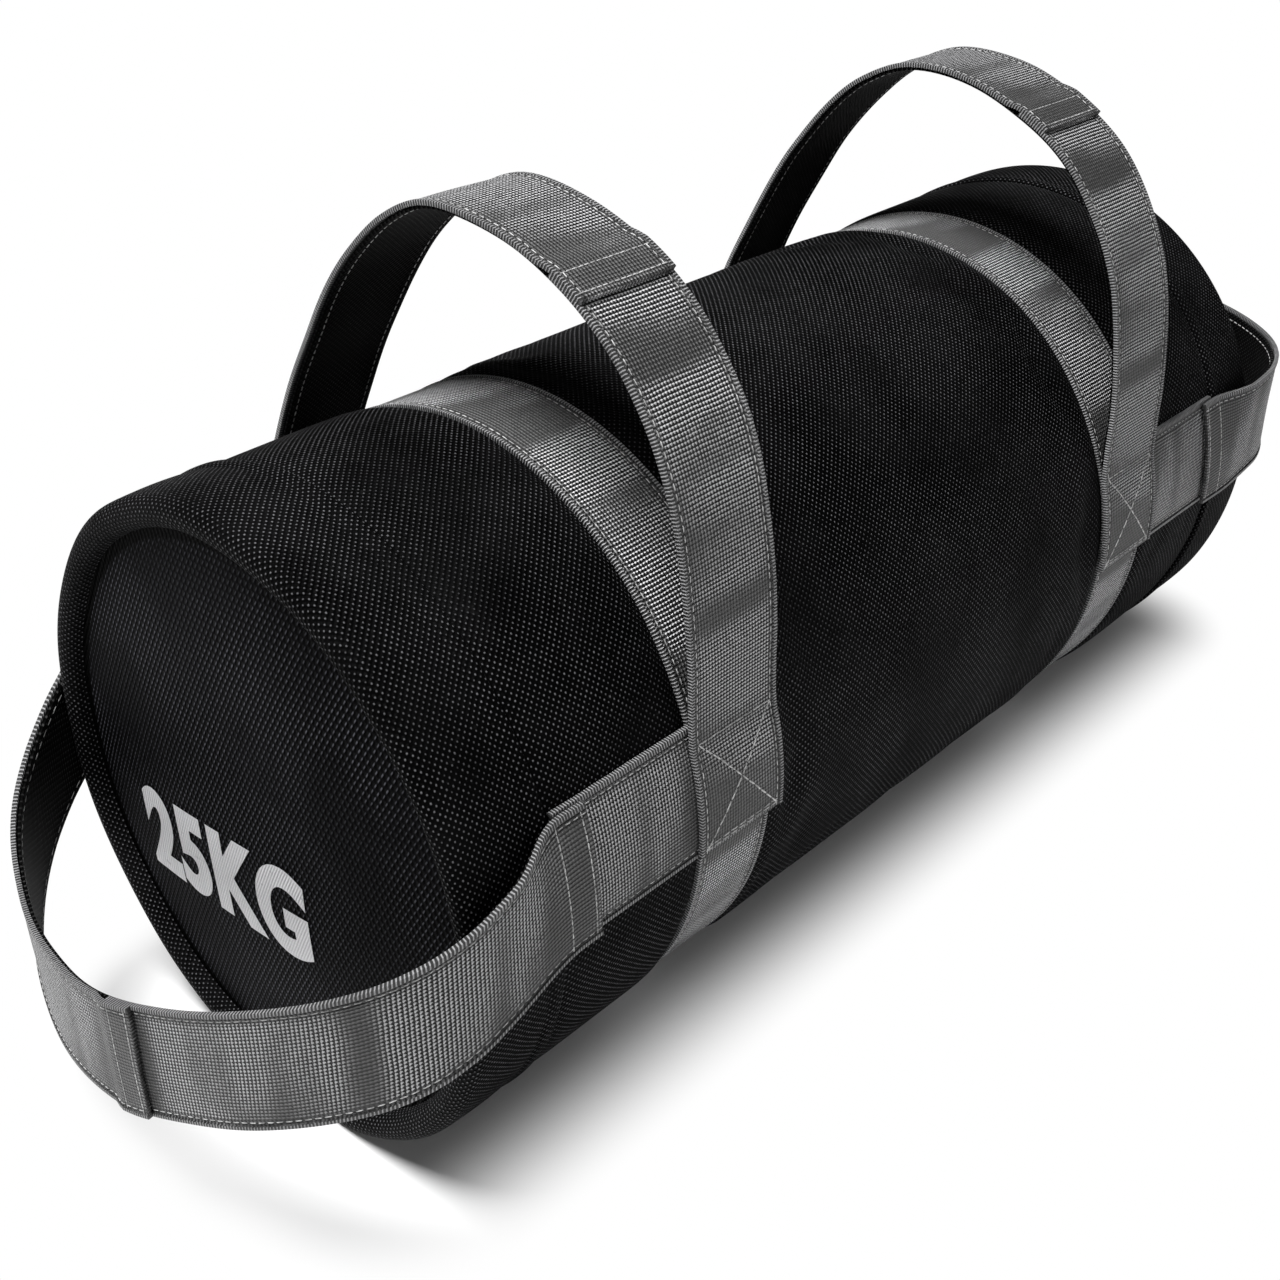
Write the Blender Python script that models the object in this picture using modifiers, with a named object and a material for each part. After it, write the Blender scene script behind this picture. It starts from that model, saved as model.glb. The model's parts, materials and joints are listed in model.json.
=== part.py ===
"""Training sandbag: a filled fabric cylinder with two webbing bands, two carry
handles on top and a webbing loop at each end.

Frame: X runs along the bag, +Z is up and the front side, where the handles
are sewn with crossed boxes, faces -Y. The origin is on the floor, under the
middle of the bag. All lengths are in metres.
"""

import math

import bmesh
import bpy
from mathutils import Matrix, Vector

# Filled bag. The section is a little taller than wide and rests on a flat.
bag_radius = 0.1168
height_share = 1.06
rest_flat_depth = 0.006
half_length = 0.265
fit_gap = 0.0003
ring_steps = 48

# Outer shell, a single tube of coarse woven nylon that runs under both sleeves.
shell_wall = 0.0016
shell_lap = 0.010

# End sleeves, with a rolled rim round a sunken end panel.
sleeve_wall = 0.0018
sleeve_length = 0.039
rim_roll_radius = 0.0055
rim_roll_sweep = math.radians(150.0)
rim_steps = 5
flange_wall = 0.0018
flange_reach = 0.018
rim_groove_depth = 0.0088
groove_width = 0.0020

# End panels, domed a little by the filling behind them.
panel_edge_thickness = 0.0022
panel_dome = 0.0055
panel_steps = 5

# Grey webbing and its black lining.
webbing_thickness = 0.0015
lining_thickness = 0.0012
band_width = 0.038
band_place = 0.139
band_ramp = 0.003
band_side_gap = 0.0005
sleeve_hem_step = 0.0005
handle_width = 0.045

# Sewn-down ends of the carry handles, on the bands.
anchor_height = 0.046
anchor_top = 0.0405
anchor_steps = 8

# Carry handles: each leans about the top edge of its two sewn-down ends.
handle_rise = 0.198
handle_arch_shares = (
    (-1.005, 0.300),
    (-0.968, 0.420),
    (-0.915, 0.540),
    (-0.845, 0.655),
    (-0.745, 0.768),
    (-0.600, 0.870),
    (-0.410, 0.948),
    (-0.190, 0.995),
    (0.030, 0.994),
    (0.225, 0.950),
    (0.395, 0.868),
    (0.540, 0.768),
    (0.662, 0.655),
    (0.775, 0.540),
    (0.878, 0.420),
    (0.965, 0.300),
)
handle_lap_share = 0.40
lap_length = 0.014
lap_ramp = 0.008
path_spacing = 0.010

# End loops: fixed stubs sewn along the sides, then a loop of the same webbing.
stub_setback = 0.0015
loop_pivot_setback = 0.003
loop_tongue = 0.011
loop_width = 0.050
loop_height = 0.0193
loop_reach = 0.106
loop_bend = 0.020
loop_droops = {"near": math.radians(36.0), "far": math.radians(-8.0)}
loop_skew_shares = {"near": 0.46, "far": 0.0}
loop_outline_shares = (
    (0.170, 1.022),
    (0.340, 1.026),
    (0.450, 1.018),
    (0.575, 0.975),
    (0.695, 0.885),
    (0.810, 0.735),
    (0.900, 0.545),
    (0.964, 0.330),
    (1.000, 0.110),
)
loop_lap_share = 0.46

# Inner bag and what it holds.
liner_wall = 0.0008
liner_shoulder = 0.024
liner_crown_share = 0.62
liner_cap_shares = ((0.0, 1.0), (0.6, 0.94), (0.9, 0.82))
neck_radius = 0.0135
neck_length = 0.0095
neck_clearance = 0.001
tie_wire_radius = 0.0012
tie_setback = 0.003
tie_major_steps = 24
tie_minor_steps = 8

# Sizes that follow from the ones above.
axis_height = height_share * bag_radius - rest_flat_depth
pinched_radius = bag_radius - webbing_thickness - fit_gap
patch_radius = bag_radius + fit_gap
outer_plane = patch_radius + webbing_thickness + fit_gap
sleeve_start = half_length - sleeve_length
stub_end = sleeve_start - stub_setback
loop_pivot = stub_end - loop_pivot_setback
panel_back = half_length - rim_groove_depth + fit_gap
liner_radius = pinched_radius - shell_wall - fit_gap
neck_end = panel_back - neck_clearance
liner_half = neck_end - neck_length
tie_place = neck_end - tie_setback

smooth_angle = math.radians(35.0)


def clear_scene():
    for item in list(bpy.data.objects):
        bpy.data.objects.remove(item, do_unlink=True)


def make_collection(name):
    group = bpy.data.collections.new(name)
    bpy.context.scene.collection.children.link(group)
    return group


def make_material(name, colour, roughness):
    material = bpy.data.materials.new(name)
    material.use_nodes = True
    shader = material.node_tree.nodes["Principled BSDF"]
    shader.inputs["Base Color"].default_value = (*colour, 1.0)
    shader.inputs["Roughness"].default_value = roughness
    shader.inputs["Metallic"].default_value = 0.0
    return material


def evaluated_mesh(item):
    depsgraph = bpy.context.evaluated_depsgraph_get()
    return bpy.data.meshes.new_from_object(item.evaluated_get(depsgraph))


def add_piece(name, mesh, material, parent=None):
    piece = bpy.data.objects.new(name, mesh)
    mesh.name = name
    mesh.materials.clear()
    mesh.materials.append(material)
    mesh.shade_smooth()
    mesh.set_sharp_from_angle(angle=smooth_angle)
    parts.objects.link(piece)
    piece.parent = parent
    return piece


def rest_level(radius):
    """Height above the floor of a layer of this radius, where the bag lies flat."""
    return max(0.0, (bag_radius - radius) * height_share)


def turned_piece(name, profile, material, closed):
    """Turn (place, radius) points about the bag's axis and press the underside flat.

    The profile runs from +X to -X along its outer side, and a closed one then
    comes back along its inner side.
    """
    mesh = bpy.data.meshes.new(name)
    shape = bmesh.new()
    points = [shape.verts.new((radius, 0.0, place)) for place, radius in profile]
    for start, end in zip(points, points[1:]):
        shape.edges.new((start, end))
    if closed:
        shape.edges.new((points[-1], points[0]))
    shape.to_mesh(mesh)
    shape.free()
    guide = bpy.data.objects.new(name, mesh)
    guides.objects.link(guide)
    screw = guide.modifiers.new("turn", "SCREW")
    screw.axis = "Z"
    screw.angle = math.tau
    screw.steps = ring_steps
    screw.render_steps = ring_steps
    screw.use_merge_vertices = True
    screw.merge_threshold = 0.00001
    turned = evaluated_mesh(guide)
    bpy.data.objects.remove(guide, do_unlink=True)
    lie_along_x = Matrix.Rotation(math.radians(90.0), 4, "Y")
    oval = Matrix.Diagonal((height_share, 1.0, 1.0, 1.0))
    lift = Matrix.Translation((0.0, 0.0, axis_height))
    turned.transform(lift @ lie_along_x @ oval)
    for point in turned.vertices:
        below = (point.co.z - axis_height) / height_share
        radius = math.hypot(point.co.y, below)
        point.co.z = max(point.co.z, rest_level(radius))
    turned.update()
    return add_piece(name, turned, material)


def strap(name, path, across, thickness, material, parent=None):
    """A strip of webbing: its middle line swept across its width, then thickened."""
    mesh = bpy.data.meshes.new(name)
    shape = bmesh.new()
    width = Vector(across)
    points = [shape.verts.new(Vector(place) - width / 2) for place in path]
    edges = [shape.edges.new(pair) for pair in zip(points, points[1:])]
    grown = bmesh.ops.extrude_edge_only(shape, edges=edges)["geom"]
    moved = [item for item in grown if isinstance(item, bmesh.types.BMVert)]
    bmesh.ops.translate(shape, verts=moved, vec=width)
    shape.to_mesh(mesh)
    shape.free()
    piece = add_piece(name, mesh, material, parent)
    solidify = piece.modifiers.new("thickness", "SOLIDIFY")
    solidify.thickness = thickness
    solidify.offset = 0.0
    solidify.use_even_offset = True
    return piece


def smooth_curve(points, step):
    """Points about one step apart on a Catmull-Rom curve through the given 2D points."""
    ends = [points[0] * 2 - points[1], *points, points[-1] * 2 - points[-2]]
    curve = []
    for first, start, stop, last in zip(ends, ends[1:], ends[2:], ends[3:]):
        count = max(1, round((stop - start).length / step))
        for index in range(count):
            t = index / count
            pull = (stop - first) * t + (first * 2 - start * 5 + stop * 4 - last) * t**2
            bend = (start * 3 - first - stop * 3 + last) * t**3
            curve.append(start + (pull + bend) / 2)
    curve.append(points[-1])
    return curve


def path_lengths(path):
    lengths = [0.0]
    for start, end in zip(path, path[1:]):
        lengths.append(lengths[-1] + (end - start).length)
    return lengths


def offset_path(path, offsets):
    """Move each point of a path to its left, as seen from above, by its own offset."""
    moved = []
    for index, point in enumerate(path):
        before = path[max(index - 1, 0)]
        after = path[min(index + 1, len(path) - 1)]
        along = (after - before).xy.normalized()
        left = Vector((-along.y, along.x)).resized(len(point))
        moved.append(point + left * offsets[index])
    return moved


def ease(value):
    value = min(1.0, max(0.0, value))
    return value * value * (3 - 2 * value)


def lapped_halves(path, base_offset, lap_share):
    """Split a path in two strips whose ends lap, the second lying on the first."""
    lengths = path_lengths(path)
    lap_middle = lengths[-1] * lap_share
    first_end = lap_middle + lap_length / 2
    second_start = lap_middle - lap_length / 2
    step_up = webbing_thickness + fit_gap
    first = [point for point, s in zip(path, lengths) if s < first_end]
    second = []
    offsets = []
    for point, s in zip(path, lengths):
        if s > second_start:
            second.append(point)
            offsets.append(base_offset + step_up * ease((first_end + lap_ramp - s) / lap_ramp))
    return offset_path(first, [base_offset] * len(first)), offset_path(second, offsets)


def build_shell():
    """The main tube, drawn in under each band by the webbing."""
    band_in = band_place - band_width / 2 - band_side_gap
    band_out = band_place + band_width / 2 + band_side_gap
    shell_end = sleeve_start + shell_lap
    lapped_radius = bag_radius - fit_gap
    half = [
        (shell_end, lapped_radius),
        (sleeve_start - band_side_gap, lapped_radius),
        (stub_end - band_ramp, bag_radius),
        (band_out + band_ramp, bag_radius),
        (band_out, pinched_radius),
        (band_in, pinched_radius),
        (band_in - band_ramp, bag_radius),
        (band_in / 2, bag_radius),
    ]
    outer = half + [(-place, radius) for place, radius in reversed(half)]
    inner = [(place, radius - shell_wall) for place, radius in reversed(outer)]
    turned_piece("main_shell", outer + inner, shell_cloth, closed=True)


def place_end(side, profile):
    """Set a profile drawn for the +X end at either end, still running from +X to -X."""
    if side > 0:
        return profile
    return [(-place, radius) for place, radius in reversed(profile)]


def build_sleeve(name, side):
    sleeve_radius = bag_radius + sleeve_wall
    roll_place = half_length - rim_roll_radius
    roll_radius = sleeve_radius - rim_roll_radius
    rim = []
    for index in range(rim_steps + 1):
        turn = math.radians(90.0) - rim_roll_sweep * index / rim_steps
        rim.append((roll_place + rim_roll_radius * math.cos(turn),
                    roll_radius + rim_roll_radius * math.sin(turn)))
    flange_face = half_length - rim_groove_depth
    flange_back = flange_face - flange_wall
    flange_radius = bag_radius - flange_reach
    groove_radius = rim[-1][1]
    outer = [(sleeve_start, sleeve_radius - sleeve_hem_step),
             (sleeve_start + band_ramp, sleeve_radius)]
    inner = [(flange_face, groove_radius), (flange_face, flange_radius),
             (flange_back, flange_radius), (flange_back, bag_radius),
             (sleeve_start, bag_radius)]
    loop = inner + outer + rim
    turned_piece(name, place_end(side, loop[::-1]), shell_cloth, closed=True)


def build_end_panel(name, side):
    edge = panel_back + panel_edge_thickness
    panel_radius = bag_radius + sleeve_wall - 2 * rim_roll_radius - groove_width
    profile = []
    for index in range(panel_steps + 1):
        share = index / panel_steps
        profile.append((edge + panel_dome * (1 - share**2), panel_radius * share))
    profile += [(panel_back, panel_radius), (panel_back, 0.0)]
    turned_piece(name, place_end(side, profile), panel_cloth, closed=False)


def build_band(name, side):
    outer_edge = band_place + band_width / 2
    inner_edge = band_place - band_width / 2
    inner_radius = pinched_radius + fit_gap
    profile = [(outer_edge, bag_radius), (inner_edge, bag_radius),
               (inner_edge, inner_radius), (outer_edge, inner_radius)]
    turned_piece(name, place_end(side, profile), webbing_cloth, closed=True)


def build_filling():
    """A thin inner bag with a tied neck at the far end, and the sand in it."""
    shoulder = liner_half - liner_shoulder
    crown_radius = liner_radius * liner_crown_share

    def capsule(inset):
        radius = liner_radius - inset
        end = liner_half - inset
        cap = [(shoulder + (end - shoulder) * along, radius * out)
               for along, out in liner_cap_shares]
        return cap + [(end, crown_radius)]

    def shell_side(inset):
        cap = capsule(inset)
        neck = neck_radius - inset
        neck_foot = cap[-1][0]
        top = [(neck_end, neck), (neck_foot + neck_radius / 4, neck),
               (neck_foot, neck + neck_radius / 2)]
        return top + cap[::-1] + [(-p, r) for p, r in cap] + [(-cap[-1][0], 0.0)]

    profile = shell_side(0.0)
    inner = shell_side(liner_wall)
    turned_piece("inner_liner", inner[::-1] + profile, liner_cloth, closed=False)

    cap = capsule(liner_wall + fit_gap)
    end = cap[-1][0]
    solid = [(end, 0.0)] + cap[::-1] + [(-p, r) for p, r in cap] + [(-end, 0.0)]
    turned_piece("sand_filling", solid, sand, closed=False)

    bpy.ops.mesh.primitive_torus_add(
        major_radius=neck_radius + fit_gap + tie_wire_radius,
        minor_radius=tie_wire_radius,
        major_segments=tie_major_steps,
        minor_segments=tie_minor_steps,
        location=(tie_place, 0.0, axis_height),
        rotation=(0.0, math.radians(90.0), 0.0),
    )
    ring = bpy.context.object
    tie = add_piece("liner_tie", ring.data, tie_nylon)
    tie.matrix_world = ring.matrix_world
    tie.scale = (height_share, 1.0, 1.0)
    bpy.data.objects.remove(ring, do_unlink=True)


def side_strip(name, side, start, end, low, high):
    """A strip of webbing lying on the bag's flank, over the given places and heights."""
    radius = patch_radius + webbing_thickness / 2
    low_angle = math.asin(low / (radius * height_share))
    high_angle = math.asin(high / (radius * height_share))
    facet = math.tau / ring_steps
    path = []
    for index in range(anchor_steps + 1):
        angle = low_angle + (high_angle - low_angle) * index / anchor_steps
        corner = math.floor(angle / facet) * facet
        share = (angle - corner) / facet
        y = (1 - share) * math.cos(corner) + share * math.cos(corner + facet)
        z = (1 - share) * math.sin(corner) + share * math.sin(corner + facet)
        path.append(((start + end) / 2, side * radius * y, axis_height + height_share * radius * z))
    strap(name, path, (end - start, 0.0, 0.0), webbing_thickness, webbing_cloth)


def build_side_strips(end_name, end_side):
    """The handles' sewn-down ends and the fixed stubs that lead to the end loops."""
    for side_name, side in (("front", -1), ("rear", 1)):
        middle = end_side * band_place
        side_strip(f"{end_name}_{side_name}_anchor", side, middle - handle_width / 2,
                   middle + handle_width / 2, anchor_top - anchor_height, anchor_top)
        first = band_place + handle_width / 2 + fit_gap
        places = sorted((end_side * first, end_side * stub_end))
        side_strip(f"{end_name}_{side_name}_stub", side, places[0], places[1],
                   loop_height - loop_width / 2, loop_height + loop_width / 2)


def pivot(name, location):
    empty = bpy.data.objects.new(name, None)
    empty.location = location
    parts.objects.link(empty)
    return empty


def build_top_handle(end_name, end_side):
    """Two straps lapped near the grip, over one black lining, leaning about Y."""
    foot = anchor_top - anchor_height
    low = [Vector((-outer_plane, foot)), Vector((-outer_plane, (foot + anchor_top) / 2)),
           Vector((-outer_plane, anchor_top))]
    arch = [Vector((y * bag_radius, z * handle_rise)) for y, z in handle_arch_shares]
    high = [Vector((-point.x, point.y)) for point in reversed(low)]
    inside = smooth_curve(low + arch + high, path_spacing)
    drop = Vector((0.0, anchor_top))
    inside = [point - drop for point in inside]
    empty = pivot(f"{end_name}_top_handle_pivot",
                  (end_side * band_place, 0.0, axis_height + anchor_top))
    across = (handle_width, 0.0, 0.0)

    def place(path):
        return [(0.0, point.x, point.y) for point in path]

    lining = offset_path(inside, [lining_thickness / 2] * len(inside))
    strap(f"{end_name}_top_lining", place(lining), across, lining_thickness, lining_cloth, empty)
    over = lining_thickness + fit_gap + webbing_thickness / 2
    first, second = lapped_halves(inside, over, handle_lap_share)
    strap(f"{end_name}_top_strap_front", place(first), across, webbing_thickness,
          webbing_cloth, empty)
    strap(f"{end_name}_top_strap_rear", place(second), across, webbing_thickness,
          webbing_cloth, empty)


def loop_fall(end_name, place, across):
    """Drop of a loop's middle line below its stubs, more along the near one's rear arm."""
    past = max(0.0, place)
    bent = min(past, loop_bend)
    run = bent**2 / (2 * loop_bend) + past - bent
    skew = 1 + loop_skew_shares[end_name] * across / bag_radius
    return run * math.tan(loop_droops[end_name]) * skew


def mirrored(path):
    return [Vector((point.x, -point.y, point.z)) for point in path]


def build_end_loop(end_name, end_side):
    """A loop past the end of the bag: the near one hangs, the far one stands out."""
    start = [Vector((-loop_tongue, -outer_plane)), Vector((-loop_tongue / 2, -outer_plane)),
             Vector((0.0, -outer_plane))]
    arm = [Vector((x * loop_reach, -y * bag_radius)) for x, y in loop_outline_shares]
    half = start + arm
    other = [Vector((point.x, -point.y)) for point in reversed(half)]
    plan = smooth_curve(half + other, path_spacing)
    inside = []
    for point in plan:
        inside.append(Vector((point.x, point.y, -loop_fall(end_name, point.x, point.y))))
    empty = pivot(f"{end_name}_end_loop_pivot",
                  (end_side * loop_pivot, 0.0, axis_height + loop_height))
    across = (0.0, 0.0, loop_width)

    def place(path):
        return [(end_side * point.x, point.y, point.z) for point in path]

    lining = offset_path(inside, [-lining_thickness / 2] * len(inside))
    strap(f"{end_name}_loop_lining", place(lining), across, lining_thickness, lining_cloth, empty)
    over = lining_thickness + fit_gap + webbing_thickness / 2
    first, second = lapped_halves(mirrored(inside), over, loop_lap_share)
    strap(f"{end_name}_loop_strap_front", place(mirrored(first)), across, webbing_thickness,
          webbing_cloth, empty)
    strap(f"{end_name}_loop_strap_rear", place(mirrored(second)), across, webbing_thickness,
          webbing_cloth, empty)


clear_scene()
parts = make_collection("training_sandbag")
guides = make_collection("guides")

shell_cloth = make_material("shell_nylon", (0.012, 0.012, 0.013), 0.75)
panel_cloth = make_material("end_panel_nylon", (0.016, 0.017, 0.020), 0.70)
webbing_cloth = make_material("grey_webbing", (0.115, 0.115, 0.118), 0.60)
lining_cloth = make_material("black_lining", (0.012, 0.012, 0.013), 0.70)
liner_cloth = make_material("liner_fabric", (0.45, 0.45, 0.43), 0.65)
tie_nylon = make_material("tie_nylon", (0.60, 0.60, 0.58), 0.45)
sand = make_material("sand", (0.42, 0.33, 0.21), 0.95)

build_shell()
for end_word, end_side in (("near", -1), ("far", 1)):
    build_sleeve(f"{end_word}_end_sleeve", end_side)
    build_end_panel(f"{end_word}_end_panel", end_side)
    build_band(f"{end_word}_band", end_side)
    build_side_strips(end_word, end_side)
    build_top_handle(end_word, end_side)
    build_end_loop(end_word, end_side)
build_filling()
print("built", len([item for item in parts.objects if item.type == "MESH"]), "pieces")
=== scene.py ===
# %% [markdown]
# # A training sandbag
# The object is a tube of coarse black nylon, filled with sand and closed at both ends by a
# sunken round panel. Two grey webbing bands go round it. A carry handle is sewn to each band,
# and a webbing loop is sewn to each end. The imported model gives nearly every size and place, so
# the first step is to load it and to measure it.

import json
import math

import bmesh
import bpy
import numpy as np
from mathutils import Matrix, Vector


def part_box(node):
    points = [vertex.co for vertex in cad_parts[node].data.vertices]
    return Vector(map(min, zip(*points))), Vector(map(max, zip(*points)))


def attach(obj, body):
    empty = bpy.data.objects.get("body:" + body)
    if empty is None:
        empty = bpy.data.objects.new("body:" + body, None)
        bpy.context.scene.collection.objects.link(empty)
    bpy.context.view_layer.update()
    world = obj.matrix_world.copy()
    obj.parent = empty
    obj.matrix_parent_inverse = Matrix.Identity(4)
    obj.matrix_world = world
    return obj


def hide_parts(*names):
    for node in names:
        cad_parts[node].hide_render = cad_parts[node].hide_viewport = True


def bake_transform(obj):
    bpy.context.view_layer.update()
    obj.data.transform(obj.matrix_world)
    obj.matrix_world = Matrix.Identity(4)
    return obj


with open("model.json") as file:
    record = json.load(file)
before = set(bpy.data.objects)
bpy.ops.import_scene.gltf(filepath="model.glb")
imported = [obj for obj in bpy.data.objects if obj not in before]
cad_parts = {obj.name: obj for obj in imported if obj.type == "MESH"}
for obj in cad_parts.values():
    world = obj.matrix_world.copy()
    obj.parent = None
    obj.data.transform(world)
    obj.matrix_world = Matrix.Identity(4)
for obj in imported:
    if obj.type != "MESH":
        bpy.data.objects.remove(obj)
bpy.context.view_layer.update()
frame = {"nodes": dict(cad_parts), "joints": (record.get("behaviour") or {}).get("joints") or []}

# %% [markdown]
# The bag lies along X with its front side towards -Y, its near end at -X and its far end at +X.
# Its section is a circle of the bag's radius, stretched a little in height. The thicknesses and
# the loop's width are stock sizes of cloth and webbing. The other sizes are read from the
# model's own boxes, so nothing has to be fitted afterwards.

# %% Sizes read from the frame
height_share = 1.06
webbing_thickness = 0.0015
lining_thickness = 0.0012
layer_gap = 0.0003
loop_width = 0.050
ends = (("near", -1), ("far", 1))

shell_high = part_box("main_shell")[1]
sleeve_low, sleeve_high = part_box("far_end_sleeve")
panel_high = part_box("far_end_panel")[1]
band_low, band_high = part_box("far_band")
anchor_low, anchor_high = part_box("far_front_anchor")
stub_low, stub_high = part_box("far_front_stub")
joint_places = {joint["child"]: Vector(joint["pos_m"]) for joint in frame["joints"]}

bag_radius = shell_high.y
girth = math.tau * bag_radius
axis_height = shell_high.z - bag_radius * height_share
seam_place = sleeve_low.x
half_length = sleeve_high.x
sleeve_radius = sleeve_high.y
panel_radius = panel_high.y
band_place = (band_low.x + band_high.x) / 2
band_width = band_high.x - band_low.x
handle_width = anchor_high.x - anchor_low.x
stub_end = stub_high.x
loop_height = (stub_low.z + stub_high.z) / 2 - axis_height
loop_hinge = joint_places["far_end_loop"]
print(f"bag: radius {bag_radius * 1000:.1f} mm, length {half_length * 2000:.0f} mm")

# %% [markdown]
# Everything on this bag is cut from flat cloth or flat webbing and then laid round something.
# The same is done here: a piece is made flat, with X across it, Y along it and Z as its
# thickness, and a function then says where each flat point lies on the bag. Stitches are placed
# on the flat piece too, so they land on the cloth that they hold, whatever its curve.

# %% Lay a flat piece on a surface
def deselect_all():
    if bpy.context.object and bpy.context.object.mode != "OBJECT":
        bpy.ops.object.mode_set(mode="OBJECT")
    bpy.ops.object.select_all(action="DESELECT")


def make_active(piece):
    deselect_all()
    piece.select_set(True)
    bpy.context.view_layer.objects.active = piece


def corner_places(piece):
    """The place of each vertex, one in a row."""
    places = np.empty(len(piece.data.vertices) * 3)
    piece.data.vertices.foreach_get("co", places)
    return places.reshape(-1, 3)


def move_corners(piece, places):
    piece.data.vertices.foreach_set("co", places.ravel())
    piece.data.update()


def lay(piece, surface):
    """Move each vertex from its flat place (across, along, lift) to its place on the bag."""
    move_corners(piece, surface(*corner_places(piece).T))


def write_flat_uv(piece):
    """A UV map in metres: the piece's own flat places, before it is laid."""
    layer = piece.data.uv_layers.active or piece.data.uv_layers.new(name="UVMap")
    corners = np.empty(len(piece.data.loops), dtype=np.int32)
    piece.data.loops.foreach_get("vertex_index", corners)
    layer.data.foreach_set("uv", corner_places(piece)[corners, :2].ravel())


print("helpers: corner_places, move_corners, lay, write_flat_uv")

# %% [markdown]
# A few steps come back for nearly every piece. A sheet that is rolled into a tube has its edges
# merged, a modifier is applied at once so that the next step sees its result, and a finished
# piece is shaded smooth and gets its material.

# %% Merge, apply and finish
def merge_corners(piece, distance):
    make_active(piece)
    bpy.ops.object.mode_set(mode="EDIT")
    bpy.ops.mesh.select_all(action="SELECT")
    bpy.ops.mesh.remove_doubles(threshold=distance)
    bpy.ops.object.mode_set(mode="OBJECT")


def apply_modifier(piece, kind, **settings):
    make_active(piece)
    modifier = piece.modifiers.new(kind.lower(), kind)
    for name, value in settings.items():
        setattr(modifier, name, value)
    bpy.ops.object.modifier_apply(modifier=modifier.name)


def finish_cloth(piece, material, sharp_angle=40.0):
    make_active(piece)
    bpy.ops.object.shade_smooth_by_angle(angle=math.radians(sharp_angle))
    piece.data.materials.clear()
    piece.data.materials.append(material)


print("helpers: merge_corners, apply_modifier, finish_cloth")

# %% [markdown]
# ## The bag's round surface
# A filled bag rests on a flat: its underside spreads on the floor until it carries the weight.
# The round section is therefore lifted softly wherever it would go below the floor, and what
# lies under a band rests one layer higher.

# %% The round surface of the bag
contact_softness = 0.0013
closing_fade = 0.04


def ease(value):
    value = np.clip(value, 0.0, 1.0)
    return value * value * (3.0 - 2.0 * value)


def on_bag(place, angle, radius):
    """Points of the bag's section. Angle 0 faces +Y, and a quarter turn is the top."""
    y = radius * np.cos(angle)
    z = axis_height + height_share * radius * np.sin(angle)
    level = np.maximum(0.0, (bag_radius - radius) * height_share)
    over = (z - level) / contact_softness
    z = level + contact_softness * np.logaddexp(0.0, over)
    return np.column_stack((place * np.ones_like(y), y, z))


def uneven(across, along, wave, seed):
    """A slow, repeatable unevenness between about -1 and 1, as in cloth laid by hand."""
    a = np.sin(across / wave * 1.7 + along / wave * 0.9 + seed)
    b = np.sin(across / wave * 0.6 - along / wave * 1.3 + seed * 2.3)
    c = np.sin(along / wave * 2.1 + seed * 0.7)
    return (a * b + c * 0.5) / 1.5


def uneven_round(across, along, wave, seed):
    """The same on a sheet that closes on itself underneath, where it has to fade out."""
    from_closing = np.minimum(along, girth - along)
    return uneven(across, along, wave, seed) * ease(from_closing / closing_fade)


print(f"axis {axis_height * 1000:.1f} mm above the floor, girth {girth * 1000:.0f} mm")

# %% [markdown]
# ## Cloth finishes
# Each cloth is a Principled shader fed by small node groups. A group works out a pattern from
# the piece's UV map, which is in metres, so a yarn is as wide here as it is on the real cloth.
# The groups hand out only masks and heights. Colours, bump and gloss are put together in each
# material.

# %% Small helpers for nodes
def add_node(tree, kind, inputs=None, **settings):
    """A node with its settings made and its inputs either set or linked."""
    item = tree.nodes.new("ShaderNode" + kind)
    for name, value in settings.items():
        setattr(item, name, value)
    for key, value in (inputs or {}).items():
        if isinstance(value, bpy.types.NodeSocket):
            tree.links.new(value, item.inputs[key])
        else:
            item.inputs[key].default_value = value
    return item


def calculate(tree, operation, *values):
    item = add_node(tree, "Math", dict(enumerate(values)), operation=operation)
    return item.outputs[0]


def soft_step(tree, value, low, high):
    """0 below low, 1 above high and smooth between."""
    item = add_node(tree, "MapRange", {"Value": value, "From Min": low, "From Max": high},
                    interpolation_type="SMOOTHSTEP")
    return item.outputs["Result"]


def flat_place(tree):
    """The across and along coordinates of the piece, in metres."""
    uv = add_node(tree, "UVMap")
    split = add_node(tree, "SeparateXYZ", {0: uv.outputs[0]})
    return split.outputs[0], split.outputs[1]


def object_place(tree):
    return add_node(tree, "TexCoord").outputs["Object"]


def noise(tree, place, scale, detail, **more):
    inputs = {"Vector": place, "Scale": scale, "Detail": detail, **more}
    return add_node(tree, "TexNoise", inputs).outputs[0]


print("helpers: add_node, calculate, soft_step, flat_place, object_place, noise")

# %% [markdown]
# A node group starts with its inputs and is closed with what it hands out. Three things come
# back in the weaves: a sine wave for yarns that lie side by side, fine noise for the loose
# fibres on them, and whole areas where the weave catches less light.

# %% Helpers for node groups
lively_level = 0.62


def open_group(name, inputs):
    group = bpy.data.node_groups.new(name, "ShaderNodeTree")
    for label, value in inputs.items():
        socket = group.interface.new_socket(label, in_out="INPUT", socket_type="NodeSocketFloat")
        socket.default_value = value
    return group, group.nodes.new("NodeGroupInput").outputs


def close_group(group, results):
    for label in results:
        group.interface.new_socket(label, in_out="OUTPUT", socket_type="NodeSocketFloat")
    end = group.nodes.new("NodeGroupOutput")
    for label, value in results.items():
        group.links.new(value, end.inputs[label])
    print("group", group.name, "gives", ", ".join(results))
    return group


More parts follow.
